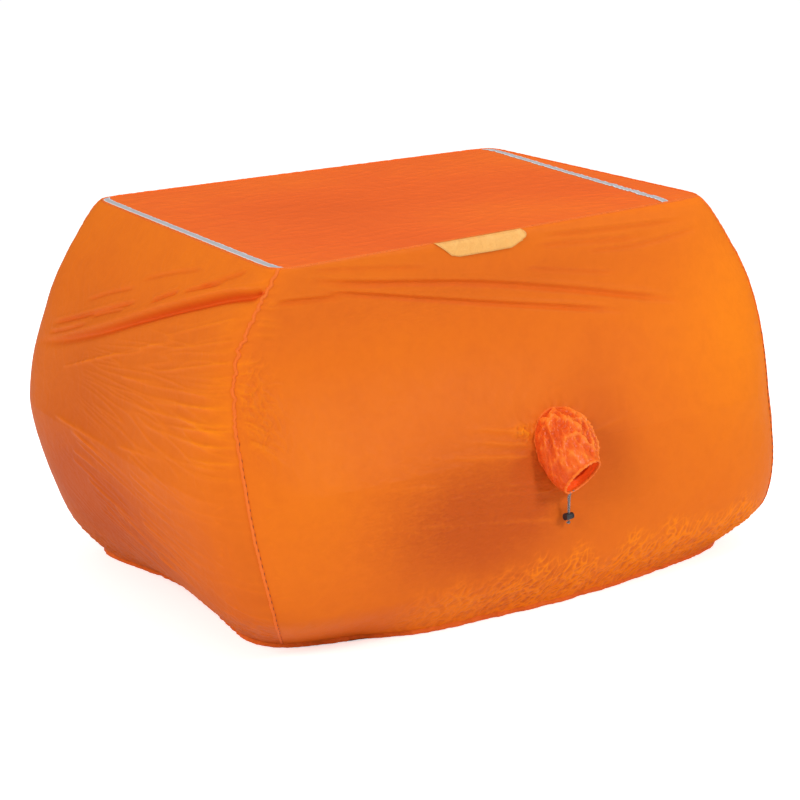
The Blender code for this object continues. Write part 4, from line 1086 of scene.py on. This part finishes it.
def vent_sleeve(prefix, vent, seed):
    """The sleeve, outside and then inside: gathered at its seam, creased, and drawn in to its mouth."""
    rings, sides = SLEEVE_GRID
    turns = np.linspace(0, 2 * np.pi, sides, endpoint=False)
    start = vent.on_wall(turns, SLEEVE_ROOT) + vent.out * 0.001
    end = vent.on_mouth(turns, MOUTH_HEM * 0.45, 0.0012)
    pull = np.linalg.norm(end - start, axis=1, keepdims=True) * 0.35
    k = np.linspace(0, 1, rings)[:, None, None]
    place = bezier(start, start + vent.out * pull, end - vent.mouth_out * pull, end, k)
    share, around = np.meshgrid(np.linspace(0, 1, rings), turns, indexing="ij")
    long = share * SLEEVE_LENGTH

    def strained(a):
        return ridges(a / 0.04 + 0.6 * noise(a / 0.05, long / 0.04, seed + 8), long / 0.1, seed + 7, 1.6)

    facets = around_ring(around, 0.075, lambda a: crumple(a, long, 0.04, seed, 2))
    glints = around_ring(around, 0.075, lambda a: crumple(a, long * 1.2, 0.017, seed + 5, 2))
    strain = around_ring(around, 0.075, strained)
    pleats = np.sin(around * 17 + 3 * noise(around * 1.3, share * 3, seed + 9))
    rough = smoothstep(-0.6, 0.5, 0.85 * np.sin(around) + 0.4 * np.cos(around))
    rough = 0.3 + 0.7 * rough * smoothstep(1.1, 0.25, share)
    inner = smoothstep(0, 0.05, share) * smoothstep(1.0, 0.9, share)
    gather = 0.0016 * np.exp(-share / 0.12) + 0.0009 * np.exp(-(1 - share) / 0.1)
    relief = 0.0085 * rough * facets + 0.0034 * rough**2 * glints + 0.0026 * (strain - 0.35)
    relief = inner * relief + pleats * gather * smoothstep(0, 0.03, share)
    swell = 0.009 * np.sin(np.pi * share) ** 0.8 * inner
    normal = normals_of(np.concatenate([place[:, -1:], place, place[:, :1]], 1))[:, 1:-1]
    normal = normal * np.sign((normal * (place - place.mean(1, keepdims=True))).sum(-1).mean())
    place = place + normal * (relief + swell)[..., None]

    # Painted light from the relief, lighter towards the top and right, and painted shade in the creases; the
    # lining is all painted crease shade, so it glows as painted light.
    light = 0.46 + 95 * relief + 0.1 * np.sin(around) + 0.1 * np.cos(around)
    crease = np.clip(0.2 - 90 * relief, 0, 1) * 0.6
    tones = np.stack([light, crease, 0.3 + 0.35 * rough], -1)
    inside = place - normal * LINING
    lining_glow_tones = np.broadcast_to((0.5, 1, 0.3), inside.shape)
    uvs = np.stack([around * 0.08, long], -1)
    seen = slice(None, rings * 3 // 10, -1)
    place, tones, uvs = (
        np.concatenate([a, b[seen]]) for a, b in ((place, inside), (tones, lining_glow_tones), (uvs, uvs))
    )
    return mesh_from(prefix + "_sleeve_cloth", place, grid_faces(len(place), sides, closed=True), uvs, tones)


def mouth_roll(prefix, vent, seed):
    """The mouth's hem: a soft narrow roll round the cord, gathered as the cord draws it in."""
    turns, rolled = (np.linspace(0, 2 * np.pi, count, endpoint=False) for count in ROLL_GRID)
    lip = vent.on_mouth(turns, MOUTH_HEM * 0.35)
    away = away_from(lip)
    u, v = np.meshgrid(turns, rolled, indexing="ij")
    rumple = around_ring(u, 0.055, lambda a: crumple(a, v * 0.005, 0.012, seed, 2)) * 0.001
    rumple = rumple + 0.0004 * np.sin(u * 24 + 2 * np.sin(u * 3))
    points = (lip - away * 0.003)[:, None] + away[:, None] * ((0.0022 + rumple) * np.cos(v))[..., None]
    points = points + vent.mouth_out * ((0.0036 + rumple) * np.sin(v))[..., None]
    # Painted light: the rim lighter than the sleeve, and lighter and darker with its rumples.
    tones = np.stack(np.broadcast_arrays(0.85 + 90 * rumple, 0.05, 0.5), -1)
    faces = grid_faces(*u.shape, closed=True, ring=True)
    return mesh_from(prefix + "_mouth_roll", points, faces, np.stack([u * 0.055, v * 0.005], -1), tones)


def away_from(ring):
    return unit(ring - ring.mean(0))


# ---------------------------------------------------------------- drawcords
def cord_at(p, out, up):
    """The middle of a cord in its channel, where the channel's outer face is at p."""
    return p - out * (LEAF + CHANNEL / 2) + up * (LEAF + CORD / 2 + GAP)


def strand_paths(stations, i, way, tail_start, tail_way, tail_spread):
    """The two strands of a drawcord, from the slot where they leave their channel to the knot."""
    leave = stations[i][1] * way
    along = unit(stations[i + 1][0] - stations[i - 1][0])
    corner = cord_at(*stations[i])
    swing_from = corner + leave * CORD_BEND
    handle = np.linalg.norm(tail_start - swing_from) * SWING_HANDLE
    k = np.linspace(0, 1, SWING_STEPS + 1)[:, None]
    swing = bezier(swing_from, swing_from + leave * handle, tail_start - tail_way * handle, tail_start, k)
    straight = tail_start + tail_way * TAIL_STRAIGHT * np.linspace(0, 1, TAIL_STEPS + 1)[1:, None]
    middle = np.concatenate([swing, straight])
    share = np.clip(np.arange(len(middle)) / SWING_STEPS, 0, 1)[:, None]
    spread_way = unit(along * (1 - share) + tail_spread * share)
    paths = []
    for side in (-1, 1):
        beside = unit(cord_at(*stations[i + side]) - corner)
        turn = []
        for angle in np.radians(CORD_TURN):
            ahead = beside * (STRAND + CORD_BEND * (1 - np.sin(angle)))
            turn.append(corner + ahead + leave * CORD_BEND * (1 - np.cos(angle)))
        paths.append(np.concatenate([turn, middle + spread_way * STRAND * side]))
    return paths


def smooth_path(points, steps=6):
    """More points along a smooth line through points."""
    places = run_of(points)
    fine = np.linspace(0, places[-1], (len(points) - 1) * steps + 1)
    return np.stack([smooth_curve(fine, places, points[:, k]) for k in range(3)], -1)


def strand(name, path, way):
    """One strand of cord: a round tube with its cut end closed."""
    out = np.tile(unit(way), (len(path), 1))
    piece = swept(name, path, out, lambda i: round_section(CORD / 2, STRAND_SIDES))
    build = bmesh.new()
    build.from_mesh(piece.data)
    bmesh.ops.holes_fill(build, edges=[e for e in build.edges if e.is_boundary], sides=0)
    build.to_mesh(piece.data)
    build.free()
    return piece


def tied_knot(name, place, tail_way):
    """An overhand knot pulled tight, with the cut ends of both strands standing out of it."""
    t = np.linspace(0, 2 * np.pi, 120, endpoint=False)
    loop = np.stack([np.sin(t) + 2 * np.sin(2 * t), np.cos(t) - 2 * np.cos(2 * t), -1.4 * np.sin(3 * t)], -1)
    turn = np.array(Vector(tail_way).to_track_quat("Z", "Y").to_matrix())
    loop = loop * 0.00125 @ turn.T + place
    way = np.tile(turn[:, 2], (len(loop), 1))
    return swept(name, loop, way, lambda i: round_section(CORD / 2 * 0.9, 12), closed=True)


# ---------------------------------------------------------------- build
def dress(piece, material, slot, body="shelter", *stands_for):
    """Gives a piece its material, the body that it moves with and the solids that it stands for; slot is not
    used.
    """
    piece.data.materials.clear()
    piece.data.materials.append(material)
    if body:
        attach(piece, body)
    if stands_for:
        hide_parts(*stands_for)
    return piece


def add_drawcord(prefix, body, stations, way, tail_start, tail_way, tail_spread):
    """The two strands of a drawcord that show, and the knot that they end in."""
    knot_at = tail_start + tail_way * (TAIL_STRAIGHT + GAP + KNOT_RADIUS)
    knot = tied_knot(prefix + "_cord_knot_tied", knot_at, tail_way)
    dress(knot, BRAID, "drawcord", body, prefix + "_cord_knot")
    paths = strand_paths(stations, 1, way, tail_start, tail_way, tail_spread)
    for k, (points, stands_for, pieces) in enumerate(zip(paths, ([prefix + "_drawcord"], []), ((knot,), ()))):
        path = smooth_path(points)
        piece = strand(f"{prefix}_cord_strand_{k + 1}", path, tail_spread)
        dress(piece, BRAID, "drawcord", body, *stands_for)
        run_of(path)[-1]
        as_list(pieces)


add_camera()
add_studio()

# Each nylon: its own orange, a painted lit-through colour, a painted shade and a painted crease shade; the
# sleeve also has a painted glow.
WALL_NYLON = nylon("wall_nylon", ORANGE, PAINTED_LIT_ORANGE, SHADED, PAINTED_CREASE_SHADE)
ROOF_NYLON = nylon("roof_nylon", (0.8, 0.13, 0.022), (0.88, 0.18, 0.02), (0.68, 0.1, 0.018), PAINTED_CREASE_SHADE, 0.5)
SEAM_NYLON = nylon("seam_nylon", (0.84, 0.16, 0.022), (0.95, 0.27, 0.06), SHADED, PAINTED_CREASE_SHADE, 0.5)
SLEEVE_NYLON = nylon(
    "sleeve_nylon", (0.78, 0.1, 0.012), (0.98, 0.24, 0.03), (0.52, 0.05, 0.01), PAINTED_CREASE_SHADE,
    roughness=0.36, crinkle=0.9, painted_glow=0.045, shine=0.22,
)
TAPE, PATCH, BRAID = tape_material(), patch_material(), cord_material()
# Dark red-brown thread: its stitches on the corner seams stand also as painted shade of puckers.
THREAD_AND_PUCKER_SHADE = plain_material("thread", (0.3, 0.045, 0.012), 0.6, grain=900, depth=0.0001)
BLACK_CLOTH = plain_material("black_cloth", (0.028, 0.028, 0.031), 0.62, grain=700, depth=0.0004)
PLASTIC = plain_material("black_plastic", (0.022, 0.022, 0.026), 0.38, grain=1200, depth=0.00008)
STEEL = plain_material("spring_steel", (0.62, 0.62, 0.64), 0.28, 1.0, grain=1500, depth=0.00005)

for side, (name, *_) in WALLS.items():
    cloth, flat = wall_cloth(side)
    lay_sheet(dress(cloth, WALL_NYLON, "wall_nylon", "shelter", name), flat)
cloth, flat = roof_cloth()
lay_sheet(dress(cloth, ROOF_NYLON, "roof_nylon", "shelter", "roof_panel"), flat)

for make, names, kind in ((corner_seam, CORNERS, "_corner_seam"), (roof_seam, SQUARE_OUT, "_roof_seam")):
    for name in names:
        bead, thread = make(name)
        dress(bead, SEAM_NYLON, "seam_binding", "shelter", name + kind)
        dress(thread, THREAD_AND_PUCKER_SHADE, "seam_binding")
dress(hem_roll(), SEAM_NYLON, "seam_binding", "shelter", "hem_channel")
for edge, inset, name in ((-1, 0.0, "left_reflective_tape"), (1, RIGHT_TAPE_INSET, "right_reflective_tape")):
    dress(tape(name, edge, inset), TAPE, "reflective_tape", "shelter", name)
label, thread = patch()
dress(label, PATCH, "patch_cloth", "shelter", "front_label_patch")
dress(thread, THREAD_AND_PUCKER_SHADE, "patch_cloth")
for name in ("front_seat_panel", "back_seat_panel"):
    low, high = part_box(name)
    panel = dress(ground_panel(name), BLACK_CLOTH, "seat_cloth", "shelter", name)
    lay_sheet(panel, (high[1] - low[1], high[0] - low[0]))

for prefix, side, seed in (("front_vent", "front", 200), ("back_vent", "back", 240)):
    vent = Vent(side)
    sleeve = vent_sleeve(prefix, vent, seed)
    dress(sleeve, SLEEVE_NYLON, "sleeve_nylon", None, prefix + "_sleeve")
    bend_start, bend_end = vent.bend()
    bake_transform(sleeve)
    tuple(bend_start)
    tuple(bend_end)
    lay_sheet(sleeve, (2 * math.pi * VENT_RADIUS, SLEEVE_LENGTH))
    roll = mouth_roll(prefix, vent, seed + 20)
    dress(roll, SLEEVE_NYLON, "sleeve_nylon", prefix, prefix + "_mouth_hem")
    base = vent.on_wall(np.linspace(0, 2 * np.pi, VENT_SEAM_POINTS, endpoint=False), SLEEVE_ROOT)
    bead = seam_bead(prefix + "_base_seam_bead", base, away_from(base), seed + 30, 0.003, closed=True)
    dress(bead, SEAM_NYLON, "seam_binding", "shelter", prefix + "_base_seam")

    exit_at = round(EXIT_ANGLE / (2 * math.pi) * SLEEVE_SIDES)
    turns = 2 * np.pi * (exit_at + np.array((-1, 0, 1))) / SLEEVE_SIDES
    points = vent.on_mouth(turns)
    along = vent.on_mouth(turns + MOUTH_STEP) - vent.on_mouth(turns - MOUTH_STEP)
    ways = unit(np.cross(along, vent.mouth_out))
    ways *= np.sign(((points - vent.mouth_at) * ways).sum(1))[:, None]
    stations = [(p, away, -vent.mouth_out) for p, away in zip(points, ways)]
    tail_start = cord_at(*stations[1]) + ways[1] * TAIL_SWING - UP * TAIL_DROP
    add_drawcord(prefix, prefix, stations, 1, tail_start, -UP, vent.out)

exits = np.sin(np.pi / 2 * np.array((-2, 0, 2)) / RIGHT_COLUMNS)
points, ways = wall_point("right", exits, HEM_HEIGHT) * (1, 1, 0), wall_out("right", exits, HEM_HEIGHT)
stations = [(p, way, UP) for p, way in zip(points, ways)]
tail_start = cord_at(*stations[1]) - ways[1] * HEM_TAIL_SWING
tail_start[2] = LOCK_RADIUS + GAP
add_drawcord("hem", "shelter", stations, -1, tail_start, -ways[1], UP)

for name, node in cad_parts.items():
    if name.endswith(("lock_body", "lock_plunger", "lock_spring")):
        node.data.materials.clear()
        node.data.materials.append(STEEL if name.endswith("spring") else PLASTIC)
    if name.endswith(("lock_body", "lock_plunger")):
        edge = node.modifiers.new("rounded edges", "BEVEL")
        edge.width, edge.segments, edge.angle_limit = LOCK_ROUNDING, 3, math.radians(35)
